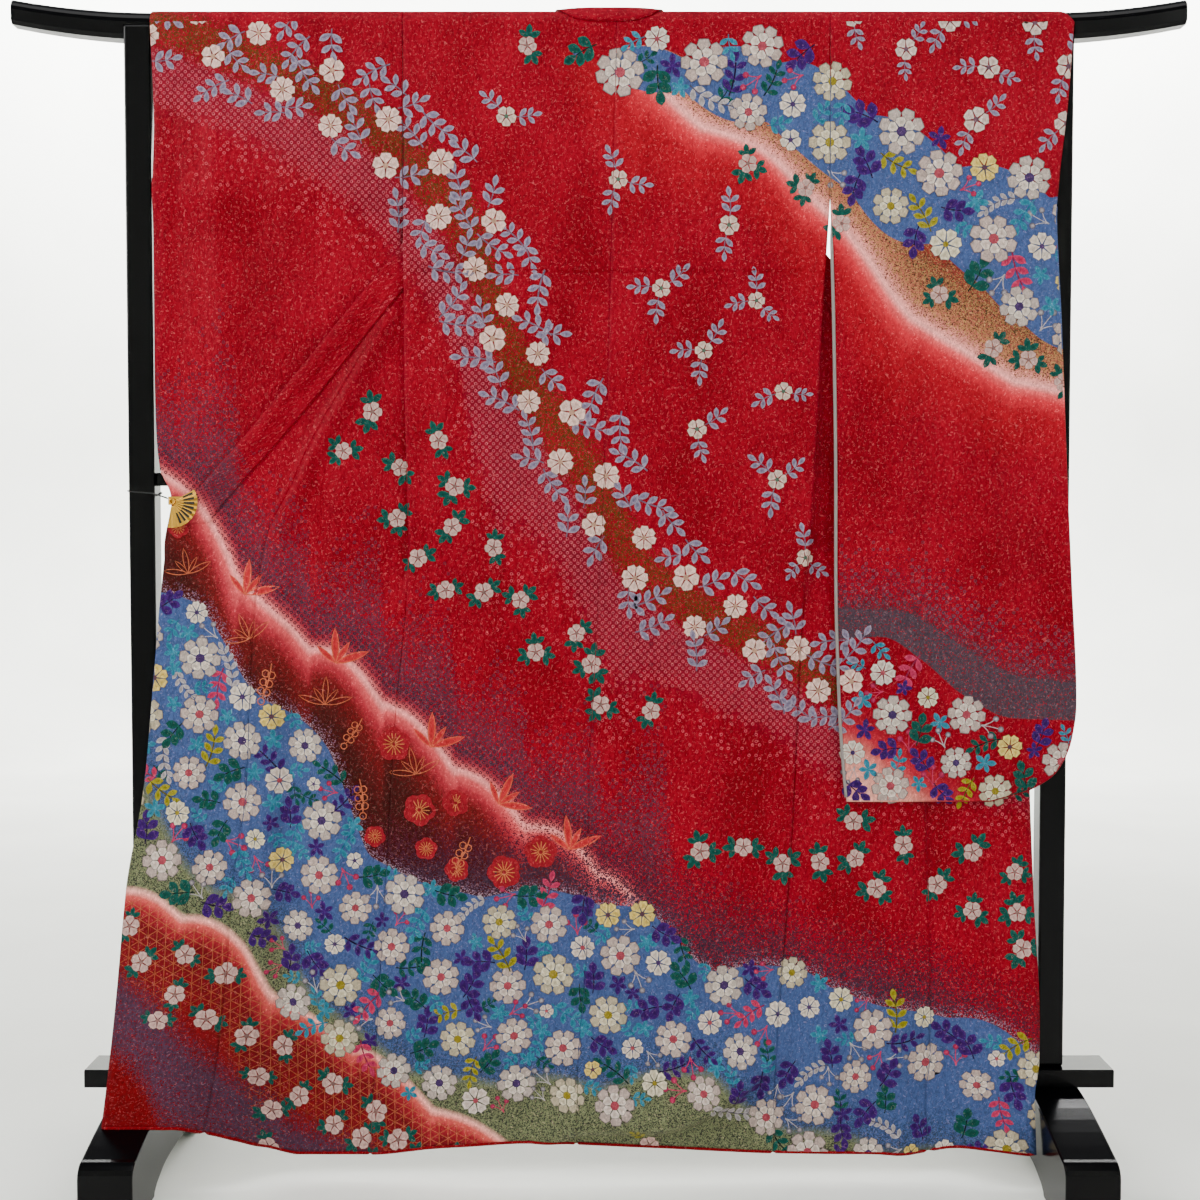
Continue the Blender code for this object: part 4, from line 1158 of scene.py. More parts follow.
@dataclass
class Sleeve(Sheet):
    """A sleeve: one length of cloth folded over the bar, closed at its foot and outer edge."""

    rows: Sequence[SleeveEdge] = RIGHT_SLEEVE
    near: str = "right_near"
    far: str = "right_far"
    cuff: float = 0.6400
    foot: float = 0.551
    wrist: float = 1.455
    rim_gap: float = 0.0018
    rim_steps: int = 3

    def creased(self, x: Array, z: Array, layer: str) -> Array:
        """A layer of the sleeve: its depth in the table less half its creases.

        Args:
            x: Places across.
            z: Heights.
            layer: The layer's column.

        Returns:
            Points, three coordinates each.
        """
        relief = self.drape.ridges(x, z, SLEEVE_CREASES) * smooth_step((z - self.foot) / 0.08)
        relief = relief * smooth_step((self.drape.bar_middle - z) / 0.05)
        return np.stack([x, table_curve(z, LAYERS, layer) - relief, z], axis=-1)

    def near_span(self, z: Array) -> tuple[Array, Array]:
        """The near layer's two edges."""
        return table_curve(z, self.rows, "inner"), table_curve(z, self.rows, "outer")

    def far_span(self, z: Array) -> tuple[Array, Array]:
        """The far layer's edges: above the wrist its mouth ends inside the post.

        Args:
            z: Heights.

        Returns:
            The two edges' places across.
        """
        inner, outer = self.near_span(z)
        pinch = smooth_step((z - self.wrist - 0.005) / 0.04)
        return inner, outer + (self.cuff - outer) * pinch

    def grid(self) -> Grid:
        """Rows up the near layer, over the bar and down the far one.

        Returns:
            The piece's points, with their places on the cloth and the plan.
        """
        d = self.drape
        hang = np.concatenate([spaced(d.bar_middle, 0.70, self.step)[:-1],
                               0.70 - (0.70 - self.foot) * np.sin(np.linspace(0, math.pi / 2, 28))])
        t = np.linspace(0.0, 1.0, int(0.35 / self.step) + 1)
        t = t - np.sin(2 * math.pi * t) * 0.06
        z = np.broadcast_to(hang[:, None], (len(hang), len(t)))
        inner, outer = self.near_span(hang)
        front_x = inner[:, None] + (outer - inner)[:, None] * t
        inner, far_outer = self.far_span(hang)
        rear_x = inner[:, None] + (far_outer - inner)[:, None] * t
        q = np.linspace(-d.quarter, d.quarter, 11)[1:-1, None]
        share = (q + d.quarter) / (2 * d.quarter)
        top_x = front_x[0] + (rear_x[0] - front_x[0]) * share
        top_q = np.broadcast_to(q, top_x.shape)
        points = np.concatenate([self.creased(front_x, z, self.near)[::-1], d.over_bar(top_x, top_q),
                                 self.creased(rear_x, z, self.far)])
        x = np.concatenate([front_x[::-1], top_x, rear_x])
        plan = np.stack([x, np.concatenate([z[::-1], d.ridge - np.abs(top_q), z])], axis=-1)
        cloth = np.stack([x, np.concatenate([z[::-1], d.ridge + top_q, 2 * d.ridge - z])], axis=-1)
        self.hang = hang
        return Grid(points, cloth, plan)

    def extra(self, grid: Grid) -> tuple[Array, Array, Array, Array]:
        """The rounded strip that closes the sleeve round its outer edge and along its foot.

        Each of its points is the middle of the two layers' edges, moved out along the
        outline's normal by the gap times the sine of the turn.

        Args:
            grid: The sleeve's two layers.

        Returns:
            Points, faces, and places on the cloth and the plan.
        """
        total, columns = grid.points.shape[:2]
        index = np.arange(total * columns).reshape(total, columns)
        count = int(np.sum(self.hang <= self.wrist + 1e-9))
        near = np.concatenate([index[:count, -1][::-1], index[0, :-1][::-1]])
        far = np.concatenate([index[total - count:, -1], index[-1, :-1][::-1]])
        flat = grid.points.reshape(-1, 3)
        path = (flat[near] + flat[far])[:, [0, 2]] / 2
        tangent = np.gradient(path, axis=0)
        normal = np.stack([-tangent[:, 1], tangent[:, 0]], axis=-1)
        normal /= np.linalg.norm(normal, axis=-1, keepdims=True)
        normal *= np.sign(np.sum(normal * (path - path.mean(axis=0)), axis=-1, keepdims=True))
        angle = np.linspace(0.0, math.pi, self.rim_steps + 2)[1:-1, None, None]
        share = (1.0 - np.cos(angle)) / 2
        ring = flat[near] + (flat[far] - flat[near]) * share
        ring[..., [0, 2]] += self.rim_gap * np.sin(angle) * normal
        start = len(flat)
        lines = [near, *(start + k * len(near) + np.arange(len(near)) for k in range(self.rim_steps)), far]
        quads = [np.stack([a[:-1], a[1:], b[1:], b[:-1]], axis=-1) for a, b in zip(lines, lines[1:])]
        places = np.tile(grid.cloth.reshape(-1, 2)[near], (self.rim_steps, 1))
        plan = np.tile(grid.plan.reshape(-1, 2)[near], (self.rim_steps, 1))
        return ring.reshape(-1, 3), np.concatenate(quads), places, plan

    def faces(self) -> list[Face]:
        """The near layer and the far one.

        Returns:
            The two faces.
        """
        top = self.drape.bar_middle
        return [
            Face(self.name + "_near", self.foot, top, self.near_span,
                 lambda x, v: self.creased(x, v, self.near), -1.0),
            Face(self.name + "_far", self.foot, top, self.far_span,
                 lambda x, v: self.creased(x, v, self.far), 1.0),
        ]


# The dyed bands

@dataclass(frozen=True)
class BandEdge:
    """An edge of a dyed band: a curve through a few rows, with cloud-like lobes."""

    rows: tuple[Bedding, ...]
    lobe: float                 # height of a lobe, metres
    pitch: float                # width of a lobe, metres
    steepest: float = 6.0       # the slope's square that the distance goes by at most

    def height(self, x: Array) -> Array:
        """The curve's height plus lobes, each an arch of half a sine wave."""
        swing = np.abs(np.sin(math.pi * x / self.pitch))
        return table_curve(x, self.rows, "z", key="x") + self.lobe * (swing - 0.6)

    def distance(self, x: Array, z: Array) -> Array:
        """How far above the edge a point lies: the height above it times the slope's cosine.

        Args:
            x: Places across.
            z: Heights.

        Returns:
            Metres, above the edge positive.
        """
        small = 0.004
        slope = (self.height(x + small) - self.height(x - small)) / (2 * small)
        return (z - self.height(x)) / np.sqrt(1.0 + np.minimum(slope ** 2, self.steepest))


def band_edge(*rows: tuple[float, float], lobe: float = 0.0, pitch: float = 0.16) -> BandEdge:
    """Makes a band's edge from plain rows of x and z, metres."""
    return BandEdge(tuple(Bedding(*row) for row in rows), lobe, pitch)


@dataclass(frozen=True)
class DyersPlan:
    """The dyer's plan: which band of colour lies where on the hanging cloth."""

    stream: BandEdge = band_edge((-0.70, 1.685), (-0.57, 1.640), (-0.42, 1.575), (-0.31, 1.500),
        (-0.20, 1.370), (-0.13, 1.190), (-0.03, 1.030), (0.07, 0.870), (0.18, 0.800), (0.27, 0.755),
        (0.36, 0.700), (0.64, 0.640))
    sky_top: BandEdge = band_edge((-0.10, 1.600), (-0.04, 1.632), (0.24, 1.632), (0.38, 1.560),
        (0.52, 1.480), (0.70, 1.420), lobe=0.022, pitch=0.13)
    sky_low: BandEdge = band_edge((-0.12, 1.950), (-0.03, 1.625), (0.12, 1.565), (0.28, 1.500),
        (0.40, 1.385), (0.54, 1.310), (0.60, 1.240), (0.70, 1.200), lobe=-0.020, pitch=0.12)
    sky_glow: BandEdge = band_edge((-0.10, 1.950), (0.02, 1.700), (0.07, 1.600), (0.13, 1.546),
        (0.25, 1.482), (0.34, 1.395), (0.44, 1.270), (0.54, 1.195), (0.70, 1.130), lobe=0.010, pitch=0.15)
    wave_top: BandEdge = band_edge((0.33, 0.832), (0.43, 0.828), (0.53, 0.775), (0.60, 0.735),
        (0.70, 0.722))
    wave_low: BandEdge = band_edge((0.33, 0.786), (0.41, 0.790), (0.47, 0.755), (0.53, 0.705),
        (0.60, 0.672), (0.70, 0.668))
    wave_glow: BandEdge = band_edge((0.33, 0.700), (0.39, 0.682), (0.45, 0.640), (0.52, 0.590),
        (0.60, 0.550), (0.70, 0.530))
    glow: BandEdge = band_edge((-0.63, 1.040), (-0.56, 0.950), (-0.48, 0.830), (-0.38, 0.762),
        (-0.24, 0.640), (-0.13, 0.545), (0.00, 0.460), (0.06, 0.390), (0.12, 0.280), (0.30, 0.200),
        (0.68, 0.020), lobe=0.020, pitch=0.105)
    field_top: BandEdge = band_edge((-0.68, 0.865), (-0.59, 0.835), (-0.50, 0.715), (-0.40, 0.630),
        (-0.33, 0.470), (-0.22, 0.418), (-0.08, 0.415), (0.06, 0.390), (0.16, 0.310), (0.30, 0.300),
        (0.42, 0.245), (0.54, 0.235), (0.66, 0.160), lobe=0.012, pitch=0.17)
    field_low: BandEdge = band_edge((-0.70, 0.640), (-0.60, 0.455), (-0.50, 0.390), (-0.42, 0.270),
        (-0.32, 0.185), (-0.20, 0.135), (0.02, 0.135), (0.15, 0.160), (0.22, 0.095), (0.46, 0.040),
        (0.68, 0.005), lobe=0.014, pitch=0.14)
    shore: BandEdge = band_edge((-0.72, 0.435), (-0.60, 0.400), (-0.52, 0.345), (-0.46, 0.260),
        (-0.34, 0.190), (-0.24, 0.110), (-0.12, 0.040), (0.02, -0.02), lobe=0.016, pitch=0.12)
    dusk: BandEdge = band_edge((-0.74, 0.330), (-0.64, 0.272), (-0.55, 0.165), (-0.44, 0.085),
        (-0.34, 0.045), (-0.20, -0.02), lobe=0.008, pitch=0.15)
    ford: BandEdge = band_edge((-0.02, 0.480), (0.10, 0.420), (0.24, 0.360), (0.40, 0.318), (0.54, 0.270),
        (0.68, 0.180), lobe=0.008, pitch=0.18)

    def fields(self, x: Array, z: Array) -> dict[str, Array]:
        """The signed distance to every band's edge, above it positive, and into the sky's band.

        Args:
            x: Places across on the plan.
            z: Heights on the plan.

        Returns:
            One array for each band, under its name.
        """
        edges = {name: getattr(self, name) for name in self.__dataclass_fields__}
        fields = {name: edge.distance(x, z) for name, edge in edges.items()}
        fields["sky"] = np.minimum(fields["sky_low"], -fields["sky_top"])
        return fields


# Finishes

class Laid(Enum):
    """How a dye is laid on the cloth."""

    SMOOTH = "brushed"
    SPECKLED = "sprinkled"
    GROUND = "left as the ground"
    SPARKED = "sprinkled in small grains"
    DOTTED = "tied in dots"
    NETTED = "drawn as a net of lines"


class Stop(NamedTuple):
    """One colour of a dye at a distance from its band's edge, and how much it covers."""

    distance: float     # millimetres, above the edge positive
    colour: str
    cover: float


@dataclass(frozen=True)
class Dye:
    """One dye of a band: its colours across the band's edge and how it is laid."""

    band: str
    laid: Laid
    stops: tuple[Stop, ...]


def dye(band: str, laid: Laid, *stops: tuple[float, str, float]) -> Dye:
    """Makes a dye whose stops are given as plain rows."""
    return Dye(band, laid, tuple(Stop(*stop) for stop in stops))


RED, DEEP_RED = "#840019", "#700012"
FIELD_BLUE = "#3A4C78"
# Painted in this order, each over those before it: distance in millimetres, colour, cover.
DYES = (
    dye("sky_glow", Laid.SMOOTH, (-120, "#980818", 0.0), (-46, "#A00C1E", 0.60), (-24, "#C02834", 0.90),
        (-13, "#DC5456", 0.95), (-4, "#EE9C96", 0.95), (8, "#D88478", 0.92), (24, "#A8604C", 0.88),
        (70, "#7C4030", 0.80), (120, "#5A2018", 0.0)),
    dye("sky_glow", Laid.SPECKLED, (-2, "#5A2C20", 0.0), (12, "#4A2A1E", 0.30), (60, "#3C2A1A", 0.42),
        (120, "#3C2A1A", 0.0)),
    dye("sky_glow", Laid.SPARKED, (2, "#A87C54", 0.0), (20, "#A07448", 0.34), (70, "#8C6A40", 0.36),
        (110, "#86643C", 0.0)),
    dye("sky_top", Laid.GROUND, (0.0, RED, 0.0), (1.0, RED, 1.0)),
    dye("sky", Laid.SMOOTH, (0.0, FIELD_BLUE, 0.0), (1.0, FIELD_BLUE, 1.0)),
    dye("stream", Laid.SPECKLED, (-34, "#4A2010", 0.0), (-8, "#46300F", 0.40), (22, "#46300F", 0.50),
        (48, "#4A2010", 0.0)),
    dye("stream", Laid.SMOOTH, (-120, "#6A1426", 0.0), (-80, "#681428", 0.40), (-34, "#641428", 0.42),
        (-12, RED, 0.0)),
    dye("stream", Laid.DOTTED, (-190, "#A8303C", 0.0), (-112, "#A43C48", 0.30), (-90, "#9C424E", 1.0),
        (-34, "#94424E", 1.0), (-14, "#80363E", 0.0)),
    dye("wave_top", Laid.SPECKLED, (-2, "#3C2C36", 0.0), (-1, "#3C2C36", 0.84), (4, "#4A2430", 0.62),
        (36, "#54182A", 0.26), (90, "#5A0C1C", 0.0)),
    dye("wave_top", Laid.SPECKLED, (-1, "#40323C", 0.90), (0, "#40323C", 0.0)),
    dye("wave_top", Laid.DOTTED, (-1, "#4A3A48", 0.0), (8, "#4A3A48", 0.6), (60, "#54303E", 0.35),
        (120, "#5C2430", 0.0)),
    dye("wave_low", Laid.GROUND, (-1.2, RED, 1.0), (0, RED, 0.0)),
    dye("wave_glow", Laid.SMOOTH, (-110, "#E8A090", 0.9), (-70, "#E09080", 0.80), (-36, "#C03040", 0.5),
        (10, "#980818", 0.0)),
    dye("glow", Laid.SPECKLED, (4, "#442C3A", 0.0), (10, "#402A38", 0.56), (36, "#442A3A", 0.52),
        (60, "#4C2434", 0.40), (125, "#5A1424", 0.0)),
    dye("glow", Laid.SMOOTH, (-250, "#340808", 1.0), (-100, "#400A0A", 1.0), (-48, "#641014", 1.0),
        (-28, "#962430", 1.0), (-14, "#C84C50", 1.0), (-5, "#E88E8A", 1.0), (1, "#C46062", 0.95),
        (10, "#982838", 0.60), (22, "#7C1828", 0.0)),
    dye("glow", Laid.DOTTED, (-3, "#241420", 0.0), (0, "#241420", 1.0), (20, "#2C1828", 1.0),
        (60, "#4A2636", 0.80), (165, "#5A1C2C", 0.0)),
    dye("glow", Laid.SPECKLED, (-300, "#2C1410", 0.60), (-100, "#341410", 0.46), (-50, "#4A1410", 0.20),
        (-26, "#7A201A", 0.0)),
    dye("ford", Laid.SPECKLED, (-140, "#2E2430", 0.80), (-40, "#342030", 0.72), (0, "#3E1626", 0.44),
        (60, "#500C18", 0.0)),
    dye("field_top", Laid.SPECKLED, (-1, "#9A8088", 0.0), (0, "#8C7480", 0.34), (8, "#6C5064", 0.20),
        (20, "#583C50", 0.0)),
    dye("field_top", Laid.SMOOTH, (-1.2, FIELD_BLUE, 1.0), (0, FIELD_BLUE, 0.0)),
    dye("field_low", Laid.SPECKLED, (-8.0, "#2C3440", 0.0), (0, "#2C3440", 0.50), (40, "#2C3E5C", 0.32),
        (90, FIELD_BLUE, 0.0)),
    dye("field_low", Laid.SMOOTH, (-6.0, "#656A4C", 1.0), (10.0, "#656A4C", 0.0)),
    dye("field_low", Laid.SPECKLED, (-140, "#2E3228", 0.40), (-10, "#2E3228", 0.36), (0, "#2E3228", 0.0)),
    dye("shore", Laid.SMOOTH, (-260, "#600008", 1.0), (-150, "#680810", 1.0), (-48, "#640A14", 1.0),
        (-26, "#8C1C26", 1.0), (-14, "#C04C48", 1.0), (-6, "#EEA094", 1.0), (2, "#D8A090", 0.0)),
    dye("shore", Laid.NETTED, (-150, "#8C4C2C", 0.0), (-110, "#8C4C2C", 0.55), (-24, "#9C5C38", 0.65),
        (-12, "#A86840", 0.0)),
    dye("dusk", Laid.SPECKLED, (-130, "#3E2A38", 0.0), (-84, "#40283A", 0.76), (-24, "#40283A", 0.88),
        (20, "#4A1826", 0.0)),
)


@dataclass(frozen=True)
class FiguredSilk:
    """Figured satin silk of crinkled weave, hand dyed: soft sheen, with glints on the figure and shade in the
    crinkles painted into its colour.
    """

    title: str = "figured satin silk, hand dyed"
    painted_title: str = "figured satin silk, painted motif"
    ground: str = RED
    ground_dark: str = DEEP_RED
    patch: tuple[float, float] = (0.09, 0.16)           # size of the ground's paler patches
    patch_range: tuple[float, float] = (0.30, 0.65)     # noise from dark ground to pale
    # Real crinkles and curled threads are too fine for the render, so both are drawn coarser.
    crinkle: tuple[float, float] = (0.0034, 0.0080)     # width and length of a crinkle
    crinkle_turn: float = 8.0                           # degrees off the warp
    crinkle_height: float = 0.0008
    crinkle_range: tuple[float, float] = (0.33, 0.67)   # noise from trough to crest
    crinkle_light: tuple[float, float] = (0.76, 1.12)   # light in a trough and on a crest
    rumple: tuple[float, float] = (0.018, 0.050)        # width and length of a soft rumple
    rumple_turn: float = 4.0
    rumple_height: float = 0.0020
    curl: float = 0.0090                                # size of the figure's curled threads
    curl_turn: float = 35.0
    curl_step: float = 0.12                             # noise between two threads
    curl_range: tuple[float, float] = (0.030, 0.010)    # noise from beside a thread to on it
    gap: float = 0.0048                                 # size of the gaps that cut the threads
    gap_turn: float = 60.0
    gap_range: tuple[float, float] = (0.50, 0.60)
    thread_light: float = 0.55                          # painted highlight: how much lighter a thread's glint makes the colour
    thread_pale: float = 0.10                           # painted highlight: how far a thread's glint takes the glint's colour
    thread_gloss: float = 0.20                          # how much smoother it is
    # The colour of the painted glints on the threads.
    glint_colour: str = "#E8A8A0"
    figure: tuple[float, float] = (0.030, 0.039)        # width and length of the woven figure
    figure_step: float = 0.11                           # noise between two of its outlines
    figure_range: tuple[float, float] = (0.035, 0.060)
    figure_light: tuple[float, float] = (0.90, 1.06)    # painted sheen: light on the ground weave and on the figure, as shares of the colour
    speckle: float = 0.0013                             # grain of sprinkled dye
    spark: float = 0.0012
    dot_pitch: float = 0.0072                           # tied dots
    dot_turn: float = 45.0
    dot_ring: tuple[float, float] = (0.24, 0.08)        # radius and half width of a ring, in pitches
    net_pitch: float = 0.0130
    net_line: float = 0.00055
    net_turns: tuple[float, ...] = (0.0, 60.0, 120.0)   # a net of triangles
    roughness: float = 0.50
    specular: float = 0.05
    sheen: float = 0.02
    sheen_roughness: float = 0.40
    sheen_colour: str = "#F08078"

    def place(self, tree: bpy.types.NodeTree, scale: tuple[float, float],
              turn: float = 0.0) -> bpy.types.NodeSocket:
        """The place on the cloth, counted in repeats of a pattern.

        Args:
            tree: The material's node tree.
            scale: The size of one repeat, metres.
            turn: The pattern's turn, degrees.

        Returns:
            The socket with the place.
        """
        cloth = add_node(tree, "ShaderNodeUVMap", uv_map="Cloth").outputs["UV"]
        turned = add_node(tree, "ShaderNodeVectorRotate", {
            "Vector": cloth, "Angle": math.radians(turn)}, rotation_type="Z_AXIS").outputs[0]
        return add_node(tree, "ShaderNodeVectorMath", {
            0: turned, 1: (1.0 / scale[0], 1.0 / scale[1], 1.0)}, operation="MULTIPLY").outputs[0]

    def weave(self, tree: bpy.types.NodeTree) -> tuple[bpy.types.NodeSocket, ...]:
        """The crinkle, the woven figure and its short curled threads, each from 0 to 1.

        Args:
            tree: The material's node tree.

        Returns:
            Their three sockets.
        """
        crinkle = add_node(tree, "ShaderNodeTexNoise", {
            "Vector": self.place(tree, self.crinkle, self.crinkle_turn), "Scale": 1.0, "Detail": 2.0,
            "Roughness": 0.55, "Distortion": 1.0}).outputs["Fac"]
        wander = add_node(tree, "ShaderNodeTexNoise", {
            "Vector": self.place(tree, self.figure), "Scale": 1.0, "Detail": 2.0,
            "Distortion": 3.0}).outputs["Fac"]
        bend = add_node(tree, "ShaderNodeMath", {
            0: wander, 1: self.figure_step}, operation="PINGPONG").outputs[0]
        figure = add_node(tree, "ShaderNodeMapRange", {
            "Value": bend, "From Min": self.figure_range[0], "From Max": self.figure_range[1]},
            interpolation_type="SMOOTHSTEP").outputs[0]
        swirl = add_node(tree, "ShaderNodeTexNoise", {
            "Vector": self.place(tree, (self.curl, self.curl * 1.15), self.curl_turn), "Scale": 1.0,
            "Detail": 0.0, "Distortion": 1.6}).outputs["Fac"]
        line = add_node(tree, "ShaderNodeMath", {
            0: swirl, 1: self.curl_step}, operation="PINGPONG").outputs[0]
        thread = add_node(tree, "ShaderNodeMapRange", {
            "Value": line, "From Min": self.curl_range[0], "From Max": self.curl_range[1]}).outputs[0]
        cut = add_node(tree, "ShaderNodeTexNoise", {
            "Vector": self.place(tree, (self.gap, self.gap), self.gap_turn), "Scale": 1.0,
            "Detail": 0.0}).outputs["Fac"]
        kept = add_node(tree, "ShaderNodeMapRange", {
            "Value": cut, "From Min": self.gap_range[0], "From Max": self.gap_range[1]}).outputs[0]
        glint = add_node(tree, "ShaderNodeMath", {0: thread, 1: kept}, operation="MULTIPLY").outputs[0]
        return crinkle, figure, glint

    def dress(self, tree: bpy.types.NodeTree, colour: bpy.types.NodeSocket) -> None:
        """Lays the weave's light and shade over a colour and feeds the shader.

        Args:
            tree: The material's node tree.
            colour: The dyed colour.
        """
        shader = tree.nodes["Principled BSDF"]
        shader.inputs["Sheen Weight"].default_value = self.sheen
        shader.inputs["Sheen Roughness"].default_value = self.sheen_roughness
        shader.inputs["Sheen Tint"].default_value = linear(self.sheen_colour)
        shader.inputs["Specular IOR Level"].default_value = self.specular
        crinkle, figure, glint = self.weave(tree)
        shade = add_node(tree, "ShaderNodeMapRange", {
            "Value": crinkle, "From Min": self.crinkle_range[0], "From Max": self.crinkle_range[1],
            "To Min": self.crinkle_light[0], "To Max": self.crinkle_light[1]}).outputs[0]
        # Painted sheen: the woven figure is painted a little lighter than the ground weave.
        raised = add_node(tree, "ShaderNodeMapRange", {
            "Value": figure, "To Min": self.figure_light[0], "To Max": self.figure_light[1]}).outputs[0]
        # Painted highlight: a thread's glint lightens the colour, and below it takes on the glint's colour.
        shone = add_node(tree, "ShaderNodeMath", {
            0: glint, 1: self.thread_light, 2: raised}, operation="MULTIPLY_ADD").outputs[0]
        light = add_node(tree, "ShaderNodeMath", {0: shade, 1: shone}, operation="MULTIPLY").outputs[0]
        shaded = add_node(tree, "ShaderNodeVectorMath", {
            0: colour, 3: light}, operation="SCALE").outputs[0]
        pale = add_node(tree, "ShaderNodeMath", {
            0: glint, 1: self.thread_pale}, operation="MULTIPLY").outputs[0]
        lit = add_node(tree, "ShaderNodeMix", {
            0: pale, 6: shaded, 7: linear(self.glint_colour)}, data_type="RGBA").outputs[2]
        tree.links.new(lit, shader.inputs["Base Color"])
        rough = add_node(tree, "ShaderNodeMapRange", {
            "Value": glint, "To Min": self.roughness,
            "To Max": self.roughness - self.thread_gloss}).outputs[0]
        tree.links.new(rough, shader.inputs["Roughness"])
        rumple = add_node(tree, "ShaderNodeTexNoise", {
            "Vector": self.place(tree, self.rumple, self.rumple_turn), "Scale": 1.0,
            "Detail": 1.0}).outputs["Fac"]
        slack = add_node(tree, "ShaderNodeMath", {
            0: rumple, 1: self.rumple_height}, operation="MULTIPLY").outputs[0]
        height = add_node(tree, "ShaderNodeMath", {
            0: crinkle, 1: self.crinkle_height, 2: slack}, operation="MULTIPLY_ADD").outputs[0]
        bump = add_node(tree, "ShaderNodeBump", {"Height": height, "Distance": 1.0})
        tree.links.new(bump.outputs[0], shader.inputs["Normal"])

    def cover(self, tree: bpy.types.NodeTree, laid: Laid,
              amount: bpy.types.NodeSocket) -> bpy.types.NodeSocket:
        """How much a dye covers a point, by the way that it is laid.

        Args:
            tree: The material's node tree.
            laid: The way it is laid.
            amount: How much of it there is, from 0 to 1.

        Returns:
            The socket with the cover.
        """
        if laid in (Laid.SMOOTH, Laid.GROUND):
            return amount
        if laid is Laid.NETTED:
            nearest = None
            for turn in self.net_turns:
                place = self.place(tree, (self.net_pitch, self.net_pitch), turn)
                across = add_node(tree, "ShaderNodeSeparateXYZ", {0: place}).outputs[0]
                line = add_node(tree, "ShaderNodeMath", {0: across, 1: 0.5}, operation="PINGPONG").outputs[0]
                nearest = line if nearest is None else add_node(
                    tree, "ShaderNodeMath", {0: nearest, 1: line}, operation="MINIMUM").outputs[0]
            drawn = add_node(tree, "ShaderNodeMath", {
                0: nearest, 1: self.net_line / self.net_pitch}, operation="LESS_THAN").outputs[0]
            return add_node(tree, "ShaderNodeMath", {0: drawn, 1: amount}, operation="MULTIPLY").outputs[0]
        dotted = laid is Laid.DOTTED
        size = {Laid.DOTTED: self.dot_pitch, Laid.SPARKED: self.spark}.get(laid, self.speckle)
        cells = add_node(tree, "ShaderNodeTexVoronoi", {
            "Vector": self.place(tree, (size, size), self.dot_turn if dotted else 0.0), "Scale": 1.0,
            "Randomness": 0.0 if dotted else 1.0})
        picked = add_node(tree, "ShaderNodeSeparateColor", {0: cells.outputs["Color"]}).outputs[0]
        chosen = add_node(tree, "ShaderNodeMath", {0: picked, 1: amount}, operation="LESS_THAN").outputs[0]
        if not dotted:
            return chosen
        ring = add_node(tree, "ShaderNodeMath", {
            0: cells.outputs["Distance"], 1: self.dot_ring[0], 2: self.dot_ring[1]},
            operation="COMPARE").outputs[0]
        return add_node(tree, "ShaderNodeMath", {0: ring, 1: chosen}, operation="MULTIPLY").outputs[0]

    def make(self) -> bpy.types.Material:
        """The dyed cloth: the ground, then every dye painted over it in order.

        Returns:
            The material.
        """
        material = bpy.data.materials.new(self.title)
        material.use_nodes = True
        tree = material.node_tree
        drift = add_node(tree, "ShaderNodeTexNoise", {
            "Vector": self.place(tree, self.patch), "Scale": 1.0, "Detail": 2.0}).outputs["Fac"]
        spread = add_node(tree, "ShaderNodeMapRange", {
            "Value": drift, "From Min": self.patch_range[0], "From Max": self.patch_range[1]}).outputs[0]
        ground = add_node(tree, "ShaderNodeMix", {
            0: spread, 6: linear(self.ground_dark), 7: linear(self.ground)}, data_type="RGBA").outputs[2]
        colour = ground
        for dye in DYES:
            low, high = dye.stops[0].distance / 1000.0, dye.stops[-1].distance / 1000.0
            away = add_node(tree, "ShaderNodeAttribute", attribute_name=dye.band).outputs["Fac"]
            place = add_node(tree, "ShaderNodeMapRange", {
                "Value": away, "From Min": low, "From Max": high}).outputs[0]
            ramp = add_node(tree, "ShaderNodeValToRGB", {0: place})
            stops = ramp.color_ramp.elements
            for number, stop in enumerate(dye.stops):
                at = (stop.distance / 1000.0 - low) / (high - low)
                element = stops[number] if number < 2 else stops.new(at)
                element.position = at
                element.color = (*linear(stop.colour)[:3], stop.cover)
            cover = self.cover(tree, dye.laid, ramp.outputs["Alpha"])
            laid = ground if dye.laid is Laid.GROUND else ramp.outputs["Color"]
            colour = add_node(tree, "ShaderNodeMix", {
                0: cover, 6: colour, 7: laid}, data_type="RGBA").outputs[2]
        self.dress(tree, colour)
        return material

    def make_painted(self) -> bpy.types.Material:
        """The same cloth where a motif's own colour covers it.

        Returns:
            The material.
        """
        material = bpy.data.materials.new(self.painted_title)
        material.use_nodes = True
        tree = material.node_tree
        self.dress(tree, add_node(tree, "ShaderNodeAttribute", attribute_name="dye").outputs["Color"])
        return material


